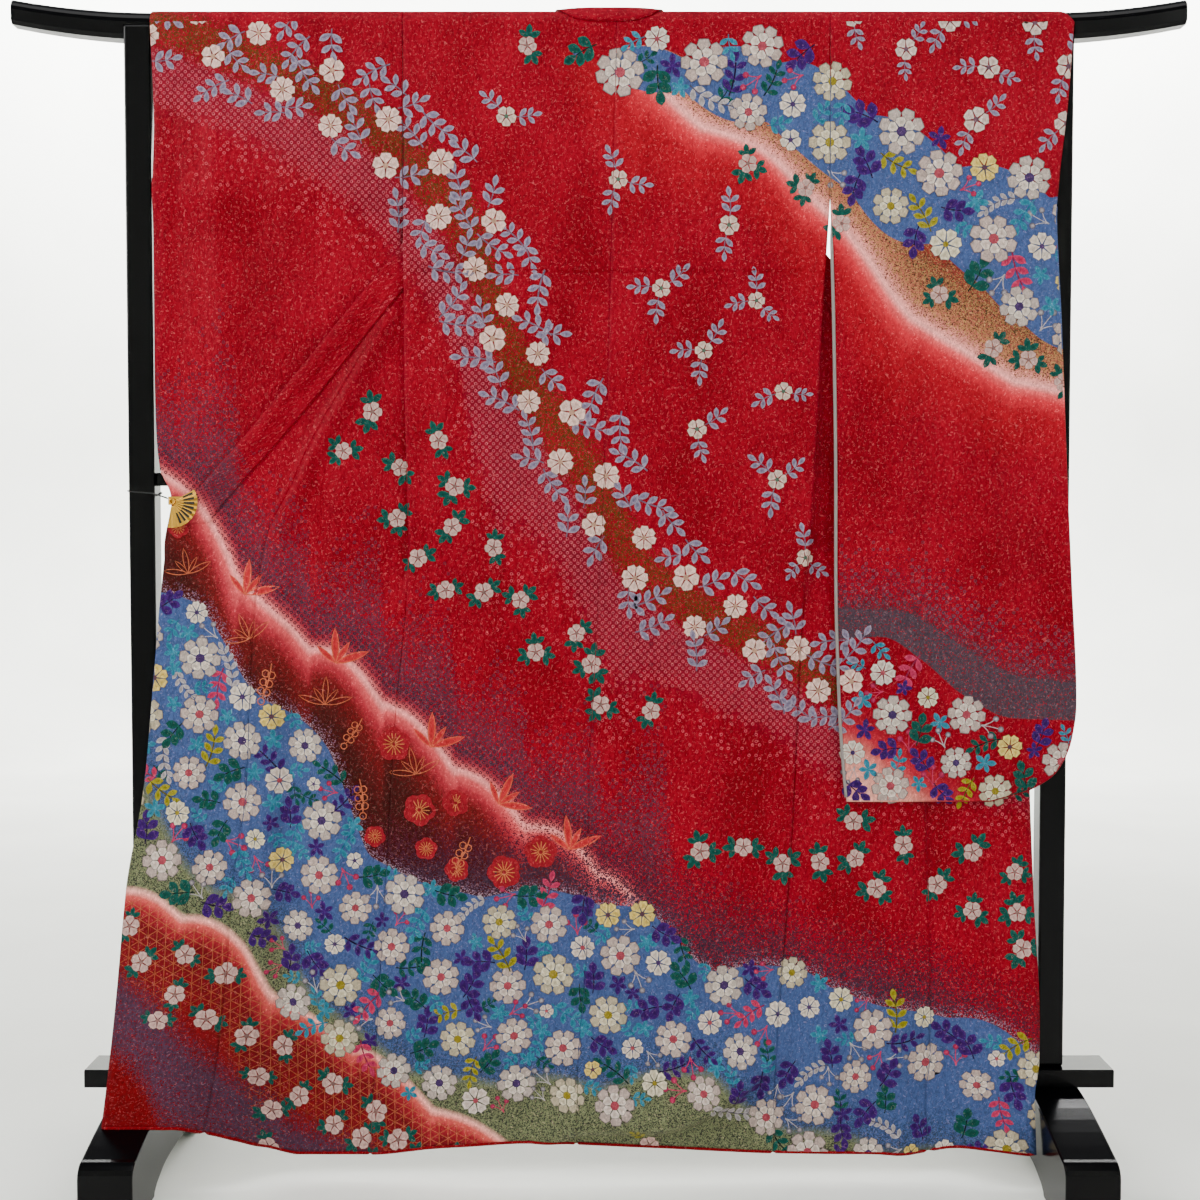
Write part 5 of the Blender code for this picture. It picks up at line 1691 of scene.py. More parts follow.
@dataclass(frozen=True)
class PlainFinish:
    """A finish of one colour with a grain: lacquer, brass, cord, lining and the like."""

    title: str
    colour: str
    roughness: float
    metallic: float = 0.0
    specular: float = 0.5
    grain: float = 0.0          # height of the surface's grain, metres
    grain_size: float = 0.004   # its size, metres
    darkest: float = 0.8        # the colour's share in the grain's dark spots
    uneven: float = 0.15        # how far the roughness strays either way

    def make(self) -> bpy.types.Material:
        """Makes the material: the colour varied a little by noise, which bumps it too.

        Returns:
            The material.
        """
        material = bpy.data.materials.new(self.title)
        material.use_nodes = True
        tree = material.node_tree
        shader = tree.nodes["Principled BSDF"]
        shader.inputs["Metallic"].default_value = self.metallic
        shader.inputs["Specular IOR Level"].default_value = self.specular
        place = add_node(tree, "ShaderNodeTexCoord").outputs["Object"]
        noise = add_node(tree, "ShaderNodeTexNoise", {
            "Vector": place, "Scale": 1.0 / self.grain_size, "Detail": 4.0})
        dark = tuple(c * self.darkest for c in linear(self.colour)[:3]) + (1.0,)
        tint = add_node(tree, "ShaderNodeMix", {
            0: noise.outputs["Fac"], 6: dark, 7: linear(self.colour)}, data_type="RGBA")
        tree.links.new(tint.outputs[2], shader.inputs["Base Color"])
        rough = add_node(tree, "ShaderNodeMapRange", {
            "Value": noise.outputs["Fac"], "To Min": self.roughness * (1.0 - self.uneven),
            "To Max": self.roughness * (1.0 + self.uneven)})
        tree.links.new(rough.outputs[0], shader.inputs["Roughness"])
        if self.grain:
            bump = add_node(tree, "ShaderNodeBump", {
                "Height": noise.outputs["Fac"], "Distance": self.grain, "Strength": 1.0})
            tree.links.new(bump.outputs[0], shader.inputs["Normal"])
        return material


# Many coats of lacquer on wood, polished: black, with soft reflections of the lights.
LACQUER = PlainFinish("black gloss urushi lacquer", "#020203", 0.16, specular=0.12)
# Plain woven silk: pale and matt, with a fine even grain.
LINING = PlainFinish("plain weave silk lining", "#B4AEA8", 0.6, grain=0.0002, grain_size=0.002)
# The same cloth where it turns in, painted greyer as shade because less light reaches it.
SHADED_LINING = PlainFinish("plain weave silk lining, in its fold", "#847C78", 0.7, grain=0.0002,
                            grain_size=0.002)
# Stamped brass, gilt and polished: a warm, slightly soft mirror.
BRASS = PlainFinish("polished gilt brass", "#D9A441", 0.24, metallic=1.0)
# Dyed yarn, braided: black without gloss, and ribbed.
BRAID = PlainFinish("black braided cord", "#0B090C", 0.75, grain=0.0003, grain_size=0.0008)
# Enamel filled between the sticks: a hard black that takes a glint.
ENAMEL = PlainFinish("black enamel", "#060505", 0.3)
# Matt paper off a roll: pale, without gloss or visible grain.
BACKDROP = PlainFinish("matt paper backdrop", "#FAFBF5", 0.9, grain_size=0.5)


def attach(piece: bpy.types.Object, finish: bpy.types.Material) -> None:
    """Gives a piece its finish and its slot, and lets it ride on the one body.

    Args:
        piece: The new piece.
        finish: Its material.
    """
    piece.data.materials.append(finish)
    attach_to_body(piece, "root")


def redress(frame: dict, names: Sequence[str], finish: bpy.types.Material) -> None:
    """Gives solids that keep their shapes another finish.

    Args:
        frame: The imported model.
        names: The solids' names.
        finish: Their new material.
    """
    for name in names:
        materials = frame["nodes"][name].data.materials
        materials.clear()
        materials.append(finish)
        LOG.info("%s: %s", name, finish.name)


# Motifs

class Paint(NamedTuple):
    """The four colours of a motif: its outline, petals, their bases and its eye."""

    line: str
    petal: str
    base: str
    eye: str


class Paints(Enum):
    """The motifs' named colourings."""

    PALE = Paint("#7A544C", "#D0B0A4", "#B8948A", "#A07A66")
    PALE_GREEN_EYE = Paint("#5C4240", "#C4A89A", "#A08A7E", "#46584A")
    PALE_DARK_EYE = Paint("#3A282C", "#C0ACA2", "#9C8880", "#5A3E4A")
    ROSE = Paint("#6E4A48", "#B4948C", "#A07E78", "#745450")
    WHITE = Paint("#3C3440", "#C8BCAE", "#A0928A", "#3A2850")
    WHITE_RED_EYE = Paint("#3C3440", "#C6B8AC", "#A08E86", "#8C3844")
    WHITE_GOLD_EYE = Paint("#3C3440", "#C8BEA4", "#A0947C", "#7A6C20")
    YELLOW = Paint("#4A3A28", "#C8B064", "#A68C42", "#4A3040")
    GOLD = Paint("#A8583A", "#A8583A", "#A8583A", "#B07440")
    SCARLET = Paint("#9C3C2C", "#841420", "#78101A", "#B06C3C")
    FLAME = Paint("#B85038", "#B02C30", "#9C1C22", "#B85038")
    LILAC_LEAF = Paint("#5E4E60", "#837A8C", "#585068", "#5C505E")
    GREEN_LEAF = Paint("#0C1E1A", "#0C4840", "#08362E", "#08362E")
    PURPLE_LEAF = Paint("#1A0A2C", "#36145C", "#260A44", "#260A44")
    TEAL_LEAF = Paint("#1E5C74", "#2C7288", "#1E5C70", "#1E5C70")
    OLIVE_LEAF = Paint("#4C4612", "#88801E", "#6A6214", "#6A6214")
    PINK_LEAF = Paint("#741A3A", "#A82C50", "#8C1E3E", "#8C1E3E")
    GRAIN = Paint("#4A4450", "#9C9496", "#7C7678", "#7C7678")


class Shape(NamedTuple):
    """A flat motif at size 1: its points, faces, colour numbers and layers."""

    points: Array       # across and up
    faces: Array
    tint: Array         # the number of each point's colour in its Paint
    layer: Array        # how many layers each point lies above the cloth


def disc(edge: Array, tints: tuple[int, ...], layer: int = 0, middle: tuple[float, float] = (0.0, 0.0),
         shares: tuple[float, ...] = (1.0,)) -> Shape:
    """A closed outline filled from a point inside it, ring by ring.

    Args:
        edge: The outline's points, anticlockwise, the last one joined to the first.
        tints: Colour numbers of the middle and of each ring.
        layer: The layer that it lies in.
        middle: The point inside.
        shares: How far out each ring lies, as a share of the outline's reach.

    Returns:
        The shape.
    """
    count, core = len(edge), np.array(middle)
    points = np.concatenate([core[None], *(core + (edge - core) * share for share in shares)])
    k = np.arange(count)
    after = (k + 1) % count
    faces = [np.stack([0 * k, 1 + k, 1 + after], -1)]
    for ring in range(1, len(shares)):
        low, high = 1 + (ring - 1) * count, 1 + ring * count
        faces.append(np.stack([low + k, high + k, high + after], -1))
        faces.append(np.stack([low + k, high + after, low + after], -1))
    tint = np.concatenate([[tints[0]], *(np.full(count, number) for number in tints[1:])])
    return Shape(points, np.concatenate(faces), tint, np.full(len(points), layer))


def round_edge(radius: float, count: int, lobes: int = 0, depth: float = 0.0) -> Array:
    """A circle's points, less a depth times the absolute sine of the lobes between them.

    Args:
        radius: The circle's radius.
        count: How many points.
        lobes: How many lobes, 0 for a plain circle.
        depth: How deep it dips between two lobes, as a share of the radius.

    Returns:
        The points, two coordinates each.
    """
    bearing = np.linspace(0.0, 2 * math.pi, count + 1)[:-1]
    reach = radius * (1.0 - depth * (1.0 - np.abs(np.sin(lobes * bearing / 2))))
    return reach[:, None] * np.stack([np.cos(bearing), np.sin(bearing)], axis=-1)


def joined(shapes: Sequence[Shape]) -> Shape:
    """Joins flat shapes into one.

    Args:
        shapes: The shapes.

    Returns:
        All of them as one.
    """
    starts = np.cumsum([0] + [len(s.points) for s in shapes[:-1]])
    return Shape(np.concatenate([s.points for s in shapes]),
                 np.concatenate([s.faces + n for s, n in zip(shapes, starts)]),
                 np.concatenate([s.tint for s in shapes]), np.concatenate([s.layer for s in shapes]))


def moved(shape: Shape, place: tuple[float, float], turn: float = 0.0, size: float = 1.0,
          layer: int = 0) -> Shape:
    """A shape turned, scaled and moved.

    Args:
        shape: The shape.
        place: Where its origin goes.
        turn: Its turn, radians.
        size: How much larger it gets.
        layer: How many layers it is raised.

    Returns:
        The shape in its new place.
    """
    c, s = math.cos(turn) * size, math.sin(turn) * size
    turned = shape.points @ np.array([[c, s], [-s, c]]) + np.array(place)
    return Shape(turned, shape.faces, shape.tint, shape.layer + layer)


def stroke(path: Array, width: Array | float, tint: int, layer: int = 0) -> Shape:
    """A drawn line: a ribbon whose edges lie half its width either side of a path.

    Args:
        path: The points of the line's middle.
        width: The line's width.
        tint: Its colour number.
        layer: The layer that it lies in.

    Returns:
        The line as a shape.
    """
    tangent = np.gradient(path, axis=0)
    normal = np.stack([-tangent[:, 1], tangent[:, 0]], axis=-1)
    normal /= np.linalg.norm(normal, axis=-1, keepdims=True) + 1e-9
    half = np.broadcast_to(np.asarray(width, float) / 2, len(path))[:, None]
    points = np.concatenate([path + normal * half, path - normal * half])
    quads = grid_faces(2, len(path), flip=True)
    faces = np.concatenate([quads[:, [0, 1, 2]], quads[:, [0, 2, 3]]])
    return Shape(points, faces, np.full(len(points), tint), np.full(len(points), layer))


def blossom(petals: int, notch: float, eye: float, tint: int = 1, base: float = 0.1) -> Shape:
    """An open flower: petals side by side, each with a soft outline, round an eye.

    A petal's tip is an arc that falls off with the bearing to the power 2.5, less its notch.

    Args:
        petals: How many petals.
        notch: Depth of the notch at a petal's tip.
        eye: The eye's radius, 0 for none.
        tint: The petals' colour number.
        base: How far from the middle a petal starts.

    Returns:
        The shape.
    """
    span = math.pi / petals
    side = np.array([-1.0, -0.55, 0.0, 0.55, 1.0])
    reach = 1.0 - 0.26 * np.abs(side) ** 2.5 - notch * (side == 0.0)
    tip = reach[:, None] * np.stack([np.cos(side * span), np.sin(side * span)], axis=-1)
    edge = np.concatenate([[[base, 0.0]], tip])
    petal = disc(edge, (2, tint, 0), 0, (0.60, 0.0), (0.84, 1.0))
    parts = [moved(petal, (0.0, 0.0), 2 * span * k) for k in range(petals)]
    if eye:
        parts.append(disc(round_edge(eye, 8), (3, 3), 4))
    return joined(parts)


def double_blossom() -> Shape:
    """A full flower: a wide ring of greyer petals with a smaller, paler flower on it."""
    outer = blossom(8, 0.07, 0.0, tint=2, base=0.3)
    return joined([outer, moved(blossom(6, 0.07, 0.34), (0, 0), 0.2, 0.62, layer=4)])


def leaf(wide: float) -> Shape:
    """A leaf from the origin to 1, darker in the middle.

    Its half width is the sine of pi times the run to the power 1.2, to the power 0.75.

    Args:
        wide: Its width, as a share of its length.

    Returns:
        The leaf.
    """
    run = np.linspace(0.0, 1.0, 6)
    half = wide / 2 * np.sin(math.pi * run ** 1.2).clip(0.0) ** 0.75
    edge = np.concatenate([np.stack([run, -half], -1), np.stack([run[-2:0:-1], half[-2:0:-1]], -1)])
    return disc(edge, (2, 1), 0, (0.52, 0.0))


def leaf_spray(pairs: int, leaf_size: float, open_by: float, wide: float, curl: float,
               stem: float = 0.035) -> Shape:
    """A curved stem from the origin to 1 with pairs of leaves and one at its tip.

    Args:
        pairs: How many pairs.
        leaf_size: A leaf's length.
        open_by: Angle between a leaf and the stem, radians.
        wide: A leaf's width, as a share of its length.
        curl: How far the stem turns, radians.
        stem: The stem's width.

    Returns:
        The spray.
    """
    t = np.linspace(0.0, 1.0, 5)
    heading = curl * (t - 0.3)
    path = np.stack([np.cumsum(np.cos(heading)), np.cumsum(np.sin(heading))], axis=-1)
    path = (path - path[0]) / (path[-1, 0] - path[0, 0]) * (1.0 - leaf_size * 0.9)
    parts = [stroke(path, stem, 0)]
    for k in range(pairs):
        share = (k + 0.45) / pairs
        at = (float(np.interp(share, t, path[:, 0])), float(np.interp(share, t, path[:, 1])))
        turn = float(np.interp(share, t, heading))
        for side in (1.0, -1.0):
            parts.append(moved(leaf(wide), at, turn + side * open_by, leaf_size * (1.0 - 0.15 * share), 1))
    parts.append(moved(leaf(wide), tuple(path[-1]), float(heading[-1]), leaf_size * 0.9, 1))
    return joined(parts)


def leaf_fan(turns: Sequence[float], wide: float) -> Shape:
    """Leaves from one point, at the given turns."""
    return joined([moved(leaf(wide), (0.0, 0.0), turn, 1.0 - 0.12 * (k % 2), k % 2)
                   for k, turn in enumerate(turns)])


def bud_spray() -> Shape:
    """A forked stem with round buds at its tips.

    Returns:
        The spray.
    """
    parts = []
    for turn, size in ((-0.7, 0.72), (-0.1, 1.0), (0.5, 0.8)):
        run = np.linspace(0.0, 1.0, 4)
        path = np.stack([run * size * math.cos(turn), run * size * np.sin(turn * run)], axis=-1)
        parts.append(stroke(path, 0.04, 1))
        parts.append(moved(disc(round_edge(0.15, 8), (1, 0), 2), tuple(path[-1])))
    return joined(parts)


def drawn_leaves(turns: Sequence[float], filled: bool = False) -> Shape:
    """Long leaves from one point, drawn in line.

    A leaf's half width is the sine of pi times the run, to the power 0.8.

    Args:
        turns: Each leaf's turn, radians.
        filled: Whether they are filled as well.

    Returns:
        The leaves.
    """
    run = np.linspace(0.0, 1.0, 6)
    half = 0.10 * np.sin(math.pi * run).clip(0.0) ** 0.8
    loop = np.concatenate([np.stack([run, -half], -1), np.stack([run[-2::-1], half[-2::-1]], -1)])
    blade = [disc(loop[:-1], (2, 1), 0, (0.5, 0.0))] if filled else []
    whole = joined([*blade, stroke(loop, 0.028, 0, 1)])
    return joined([moved(whole, (0.0, 0.0), turn, 1.0 - 0.28 * (k % 2), 2 * k)
                   for k, turn in enumerate(turns)])


def drawn_buds() -> Shape:
    """A stem with round buds drawn in line, in pairs.

    Returns:
        The stem.
    """
    parts = [stroke(np.stack([np.linspace(0, 1, 5), 0.05 * np.sin(np.linspace(0, 3, 5))], -1), 0.03, 0)]
    ring = round_edge(0.105, 7)
    ring = np.concatenate([ring, ring[:1]]) + np.array([0.11, 0.0])
    for share in (0.25, 0.5, 0.75, 1.0):
        for side in ((1.0, -1.0) if share < 1.0 else (0.0,)):
            parts.append(moved(stroke(ring, 0.03, 0), (share, 0.0), side * 0.9))
    return joined(parts)


def rayed_flower(rays: int = 14) -> Shape:
    """A round red flower with a ring of gold stamens, drawn as fine rays.

    Args:
        rays: How many stamens.

    Returns:
        The flower.
    """
    ray = stroke(np.array([[0.12, 0.0], [0.62, 0.0]]), 0.045, 3, 2)
    return joined([disc(round_edge(1.0, 20, 5, 0.16), (2, 1), 0),
                   *(moved(ray, (0.0, 0.0), 2 * math.pi * k / rays) for k in range(rays))])


class Motif(Enum):
    """The kinds of motif."""

    DOUBLE = "full flower"
    FIVE = "small flower of five petals"
    BROAD = "broad flower of five petals"
    SEVEN = "flower of seven petals"
    TRIO = "three leaves"
    STAR = "star of five leaves"
    SPRAY = "short spray of leaves"
    LONG_SPRAY = "long spray of leaves"
    BIG_LEAVES = "short spray of big leaves"
    EAR = "ear of grain"
    BUDS = "forked stem of buds"
    DRAWN_LEAVES = "leaves drawn in line"
    FLAME = "leaves drawn in line and filled"
    DRAWN_BUDS = "buds drawn in line"
    RAYED = "round flower with rays"


SHAPES: dict[Motif, Shape] = {
    Motif.DOUBLE: double_blossom(),
    Motif.FIVE: blossom(5, 0.05, 0.20),
    Motif.BROAD: blossom(5, 0.09, 0.20),
    Motif.SEVEN: blossom(7, 0.10, 0.17),
    Motif.TRIO: leaf_fan((0.0, 1.05, -1.05), 0.5),
    Motif.STAR: leaf_fan((0.0, 1.26, 2.51, 3.77, 5.03), 0.5),
    Motif.SPRAY: leaf_spray(2, 0.42, 0.95, 0.48, 0.35),
    Motif.LONG_SPRAY: leaf_spray(3, 0.31, 0.95, 0.50, 0.4),
    Motif.BIG_LEAVES: leaf_spray(2, 0.45, 0.9, 0.62, 0.3),
    Motif.EAR: leaf_spray(5, 0.22, 0.7, 0.5, 0.8, 0.022),
    Motif.BUDS: bud_spray(),
    Motif.DRAWN_LEAVES: drawn_leaves((0.3, 0.9, 1.57, 2.2, 2.85)),
    Motif.FLAME: drawn_leaves((0.35, 1.0, 1.6, 2.4), filled=True),
    Motif.DRAWN_BUDS: drawn_buds(),
    Motif.RAYED: rayed_flower(),
}


class Placed(NamedTuple):
    """Motifs of one shape on the plan, one row each."""

    shape: Shape
    place: Array        # across and up, metres
    size: Array         # metres
    turn: Array         # radians
    paint: tuple[Paints, ...]
    lift: Array         # layers above the cloth


class Spot(NamedTuple):
    """One motif on the plan."""

    x: float
    z: float
    size: float
    turn: float
    paint: Paints


class Planting(NamedTuple):
    """A kind of motif in a meadow: its room and size in millimetres, and its paints."""

    motif: Motif
    room: float
    smallest: float
    largest: float
    overlap: float
    lift: int
    paints: tuple[Paints, ...]


# Laid in this order: each kind finds its room between those before it.
MEADOW = (
    Planting(Motif.DOUBLE, 34, 24, 33, 0.00, 12, (
        Paints.WHITE_RED_EYE, Paints.WHITE, Paints.WHITE_GOLD_EYE, Paints.WHITE_RED_EYE)),
    Planting(Motif.SEVEN, 25, 16, 23, 0.05, 12, (
        Paints.YELLOW, Paints.WHITE, Paints.WHITE_GOLD_EYE, Paints.WHITE_RED_EYE, Paints.WHITE)),
    Planting(Motif.BIG_LEAVES, 19, 42, 52, 0.12, 6, (
        Paints.PURPLE_LEAF, Paints.GREEN_LEAF, Paints.PURPLE_LEAF)),
    Planting(Motif.BROAD, 17, 11, 15, 0.05, 12, (Paints.WHITE, Paints.YELLOW, Paints.WHITE_RED_EYE)),
    Planting(Motif.EAR, 18, 54, 74, 0.10, 2, (Paints.GRAIN,)),
    Planting(Motif.LONG_SPRAY, 16, 50, 64, 0.15, 2, (
        Paints.OLIVE_LEAF, Paints.PINK_LEAF, Paints.GREEN_LEAF, Paints.TEAL_LEAF, Paints.PURPLE_LEAF)),
    Planting(Motif.STAR, 13, 13, 17, 0.15, 0, (Paints.TEAL_LEAF, Paints.TEAL_LEAF, Paints.PURPLE_LEAF)),
    Planting(Motif.BUDS, 13, 24, 32, 0.20, 2, (Paints.GRAIN, Paints.PINK_LEAF)),
    Planting(Motif.SPRAY, 11, 30, 38, 0.20, 0, (
        Paints.TEAL_LEAF, Paints.GREEN_LEAF, Paints.TEAL_LEAF, Paints.TEAL_LEAF)),
)


# Motifs whose middle is their origin. The others grow from their foot.
ROUND = (Motif.DOUBLE, Motif.SEVEN, Motif.BROAD, Motif.STAR)


class Drift(NamedTuple):
    """A drift of small sprigs from one place to another, metres."""

    x_start: float
    z_start: float
    x_end: float
    z_end: float
    spread: float
    count: int


DRIFTS = (
    Drift(-0.36, 1.10, 0.02, 0.74, 0.040, 60),
    Drift(0.02, 0.74, 0.14, 0.66, 0.020, 8),
    Drift(0.14, 0.50, 0.64, 0.38, 0.030, 40),
    Drift(0.30, 0.54, 0.62, 0.46, 0.020, 14),
    Drift(-0.12, 1.68, 0.12, 1.55, 0.016, 20),
    Drift(0.16, 1.525, 0.68, 1.165, 0.018, 44),
)


@dataclass
class Garden:
    """Places the motifs by the designer's own rules, from a fixed seed."""

    plan: DyersPlan
    seed: int = 20
    taken: list[tuple[float, float, float]] = field(default_factory=list)
    spots: dict[tuple[Motif, int], list[Spot]] = field(default_factory=dict)

    def __post_init__(self) -> None:
        """Starts the random numbers."""
        self.random = np.random.default_rng(self.seed)

    def claim(self, x: float, z: float, radius: float, overlap: float = 0.0) -> bool:
        """Takes a round place if it is still free of motifs.

        Args:
            x: Its place across.
            z: Its place up.
            radius: Its radius.
            overlap: How much of two radii may overlap.

        Returns:
            Whether it was free.
        """
        took = np.array(self.taken).reshape(-1, 3)
        gap = np.hypot(took[:, 0] - x, took[:, 1] - z)
        if np.any(gap < (took[:, 2] + radius) * (1.0 - overlap)):
            return False
        self.taken.append((x, z, radius))
        return True

    def lay(self, motif: Motif, lift: int, spot: Spot) -> None:
        """Notes one motif."""
        self.spots.setdefault((motif, lift), []).append(spot)

    def scatter(self, inside: Callable[[Array, Array], Array], box: tuple[float, float, float, float],
                radius: float, overlap: float = 0.0) -> list[tuple[float, float]]:
        """Throws round places at a region, enough to fill it, and keeps those that are free.

        Args:
            inside: The chance from 0 to 1 that a point in the region is used.
            box: Lowest and highest x, lowest and highest z.
            radius: A place's radius.
            overlap: How much of two radii may overlap.

        Returns:
            The places.
        """
        tries = int(6.0 * (box[1] - box[0]) * (box[3] - box[2]) / (math.pi * radius ** 2))
        x = self.random.uniform(box[0], box[1], tries)
        z = self.random.uniform(box[2], box[3], tries)
        good = inside(x, z) > self.random.uniform(0.0, 1.0, tries)
        return [(a, b) for a, b in zip(x[good], z[good]) if self.claim(a, b, radius, overlap)]

    def around(self) -> float:
        """A bearing at random."""
        return self.random.uniform(0.0, 2 * math.pi)

    def sprig(self, x: float, z: float, size: float, flower: tuple[Motif, Paints],
              leaves: tuple[Motif, Paints], arms: int, reach: tuple[float, float]) -> None:
        """A blossom with leaf sprays that start under its petals.

        Args:
            x: Its place across.
            z: Its place up.
            size: The blossom's radius.
            flower: The blossom and its paint.
            leaves: The leaves' shape and paint.
            arms: How many groups of leaves.
            reach: Their least and greatest length, in radii.
        """
        heading = self.around()
        self.lay(flower[0], 12, Spot(x, z, size, heading, flower[1]))
        for arm in range(arms):
            turn = heading + 2 * math.pi * (arm + self.random.uniform(-0.2, 0.2)) / arms
            start = 0.85 * size
            self.lay(leaves[0], 2, Spot(x + start * math.cos(turn), z + start * math.sin(turn),
                                        size * self.random.uniform(*reach), turn, leaves[1]))

    def plant_stream(self) -> None:
        """Pale blossoms in an uneven zigzag down the stream, and lilac sprays all between."""
        x = np.linspace(-0.70, 0.37, 600)
        z = self.plan.stream.height(x)
        run = np.concatenate([[0.0], np.cumsum(np.hypot(np.diff(x), np.diff(z)))])

        def beside(spot: float, side: float) -> tuple[float, float, float]:
            """A point beside the stream, and the stream's slope there."""
            px, pz = float(np.interp(spot, run, x)), float(np.interp(spot, run, z))
            ahead = np.interp(spot + 0.01, run, z) - pz, np.interp(spot + 0.01, run, x) - px
            slope = math.atan2(*map(float, ahead))
            return px - side * math.sin(slope), pz + side * math.cos(slope), slope

        for k, spot in enumerate(np.arange(0.015, run[-1], 0.050)):
            side = (-1) ** k * self.random.uniform(0.012, 0.040) + 0.012
            cx, cz, _ = beside(spot + self.random.uniform(-0.010, 0.010), side)
            if self.claim(cx, cz, 0.0200):
                kind = Motif.SEVEN if k % 3 else Motif.BROAD
                self.lay(kind, 12, Spot(cx, cz, self.random.uniform(0.0185, 0.0215), self.around(),
                                        Paints.PALE))
        for spot in np.repeat(np.arange(0.0, run[-1], 0.006), 3):
            cx, cz, slope = beside(spot, self.random.uniform(-0.052, 0.080))
            if self.claim(cx, cz, 0.0215, 0.18):
                turn = slope + self.random.uniform(-1.2, 1.2) + math.pi * self.random.integers(0, 2)
                long = self.random.random() < 0.4
                size = self.random.uniform(0.060, 0.068) if long else self.random.uniform(0.046, 0.052)
                self.lay(Motif.LONG_SPRAY if long else Motif.SPRAY, 2, Spot(
                    cx - 0.5 * size * math.cos(turn), cz - 0.5 * size * math.sin(turn), size, turn,
                    Paints.LILAC_LEAF))

    def plant_sprigs(self) -> None:
        """Single sprigs on the red to the right of the stream, and small ones in drifts."""
        plan = self.plan

        def open_red(x: Array, z: Array) -> Array:
            """The open red to the right of the stream."""
            return ((plan.stream.distance(x, z) > 0.10) & (plan.sky_glow.distance(x, z) < -0.10)
                    & (x < 0.31) & (x > -0.20))

        for x, z in self.scatter(open_red, (-0.20, 0.31, 0.80, 1.60), 0.052):
            self.sprig(x, z, self.random.uniform(0.0135, 0.0165), (Motif.BROAD, Paints.PALE_GREEN_EYE),
                       (Motif.SPRAY, Paints.LILAC_LEAF), 2 + int(self.random.random() < 0.6), (2.2, 2.9))
        for drift in DRIFTS:
            across, up = drift.x_end - drift.x_start, drift.z_end - drift.z_start
            length = math.hypot(across, up)
            share = self.random.uniform(0.0, 1.0, drift.count)
            aside = self.random.normal(0.0, drift.spread, drift.count) / length
            places = zip(drift.x_start + across * share - up * aside,
                         drift.z_start + up * share + across * aside)
            for k, (x, z) in enumerate(places):
                if self.claim(x, z, 0.025):
                    self.sprig(x, z, self.random.uniform(0.0135, 0.0155), (Motif.FIVE, Paints.ROSE),
                               (Motif.TRIO, Paints.GREEN_LEAF), 2 + k % 2, (1.1, 1.4))

    def plant_meadow(self, inside: Callable[[Array, Array], Array],
                     box: tuple[float, float, float, float], scale: float = 1.0) -> None:
        """Fills a region kind by kind, as the meadow's table gives them, times a scale.

        Args:
            inside: The chance from 0 to 1 that a point in the region is used.
            box: Lowest and highest x, lowest and highest z.
            scale: How much larger all rooms and motifs are.
        """
        for row in MEADOW:
            for k, (x, z) in enumerate(self.scatter(inside, box, row.room * scale / 1000.0, row.overlap)):
                size = self.random.uniform(row.smallest, row.largest) * scale / 1000.0
                turn = self.around()
                back = 0.0 if row.motif in ROUND else 0.45 * size
                self.lay(row.motif, row.lift, Spot(x - back * math.cos(turn), z - back * math.sin(turn), size,
                                                   turn, row.paints[k % len(row.paints)]))

    def plant_fields(self) -> None:
        """The sky's band, the lower field, which thins out to the right, and a sleeve's foot."""
        plan = self.plan

        def lower_field(x: Array, z: Array) -> Array:
            """The lower field: patches by two crossed slow waves, fewer to the right."""
            inside = (plan.field_top.distance(x, z) < -0.004) & (plan.field_low.distance(x, z) > -0.030)
            bare = 0.5 + 0.5 * np.sin(21.0 * x + 9.0 * z) * np.sin(26.0 * z - 5.0 * x + 1.0)
            return inside * smooth_step(1.5 * bare + 0.35 - 1.3 * np.clip(x + 0.05, 0.0, 0.5))

        def sky(x: Array, z: Array) -> Array:
            """The sky's band on the back and the right sleeve."""
            return ((plan.sky_top.distance(x, z) < 0.012) & (plan.sky_low.distance(x, z) > 0.004)
                    & (x > -0.03)).astype(float)

        def sleeve_foot(x: Array, z: Array) -> Array:
            """The right sleeve's foot, below its wave."""
            return ((plan.wave_low.distance(x, z) < -0.02) & (z < 0.80 - 0.35 * (x - 0.36))).astype(float)

        self.plant_meadow(lower_field, (-0.71, 0.66, 0.03, 0.88))
        self.plant_meadow(sky, (-0.05, 0.70, 1.18, 1.68), 1.15)
        self.plant_meadow(sleeve_foot, (0.365, 0.68, 0.56, 0.79))

        def above_sky(x: Array, z: Array) -> Array:
            """The red above the sky's band."""
            return ((plan.sky_top.distance(x, z) > 0.02) & (x > 0.20)).astype(float)

        for x, z in self.scatter(above_sky, (0.20, 0.69, 1.42, 1.70), 0.036):
            self.sprig(x, z, self.random.uniform(0.017, 0.021), (Motif.BROAD, Paints.PALE_DARK_EYE),
                       (Motif.SPRAY, Paints.LILAC_LEAF), 2, (1.8, 2.3))

    def plant_drawn(self) -> None:
        """Gold-lined leaves and rayed red flowers on the maroon band, flames on its glow."""
        plan = self.plan
        for x in np.arange(-0.50, 0.05, 0.118):
            place = x + self.random.uniform(-0.02, 0.02)
            height = float(plan.glow.height(place)) - 0.020
            self.taken.append((place, height, 0.02))
            self.lay(Motif.FLAME, 0, Spot(place, height, self.random.uniform(0.040, 0.052),
                                          self.random.uniform(-0.5, 0.1), Paints.FLAME))

        def maroon(x: Array, z: Array) -> Array:
            """The maroon band between the glow and the lower field."""
            below = plan.glow.distance(x, z) < -0.040
            return (below & (plan.field_top.distance(x, z) > 0.024)).astype(float)

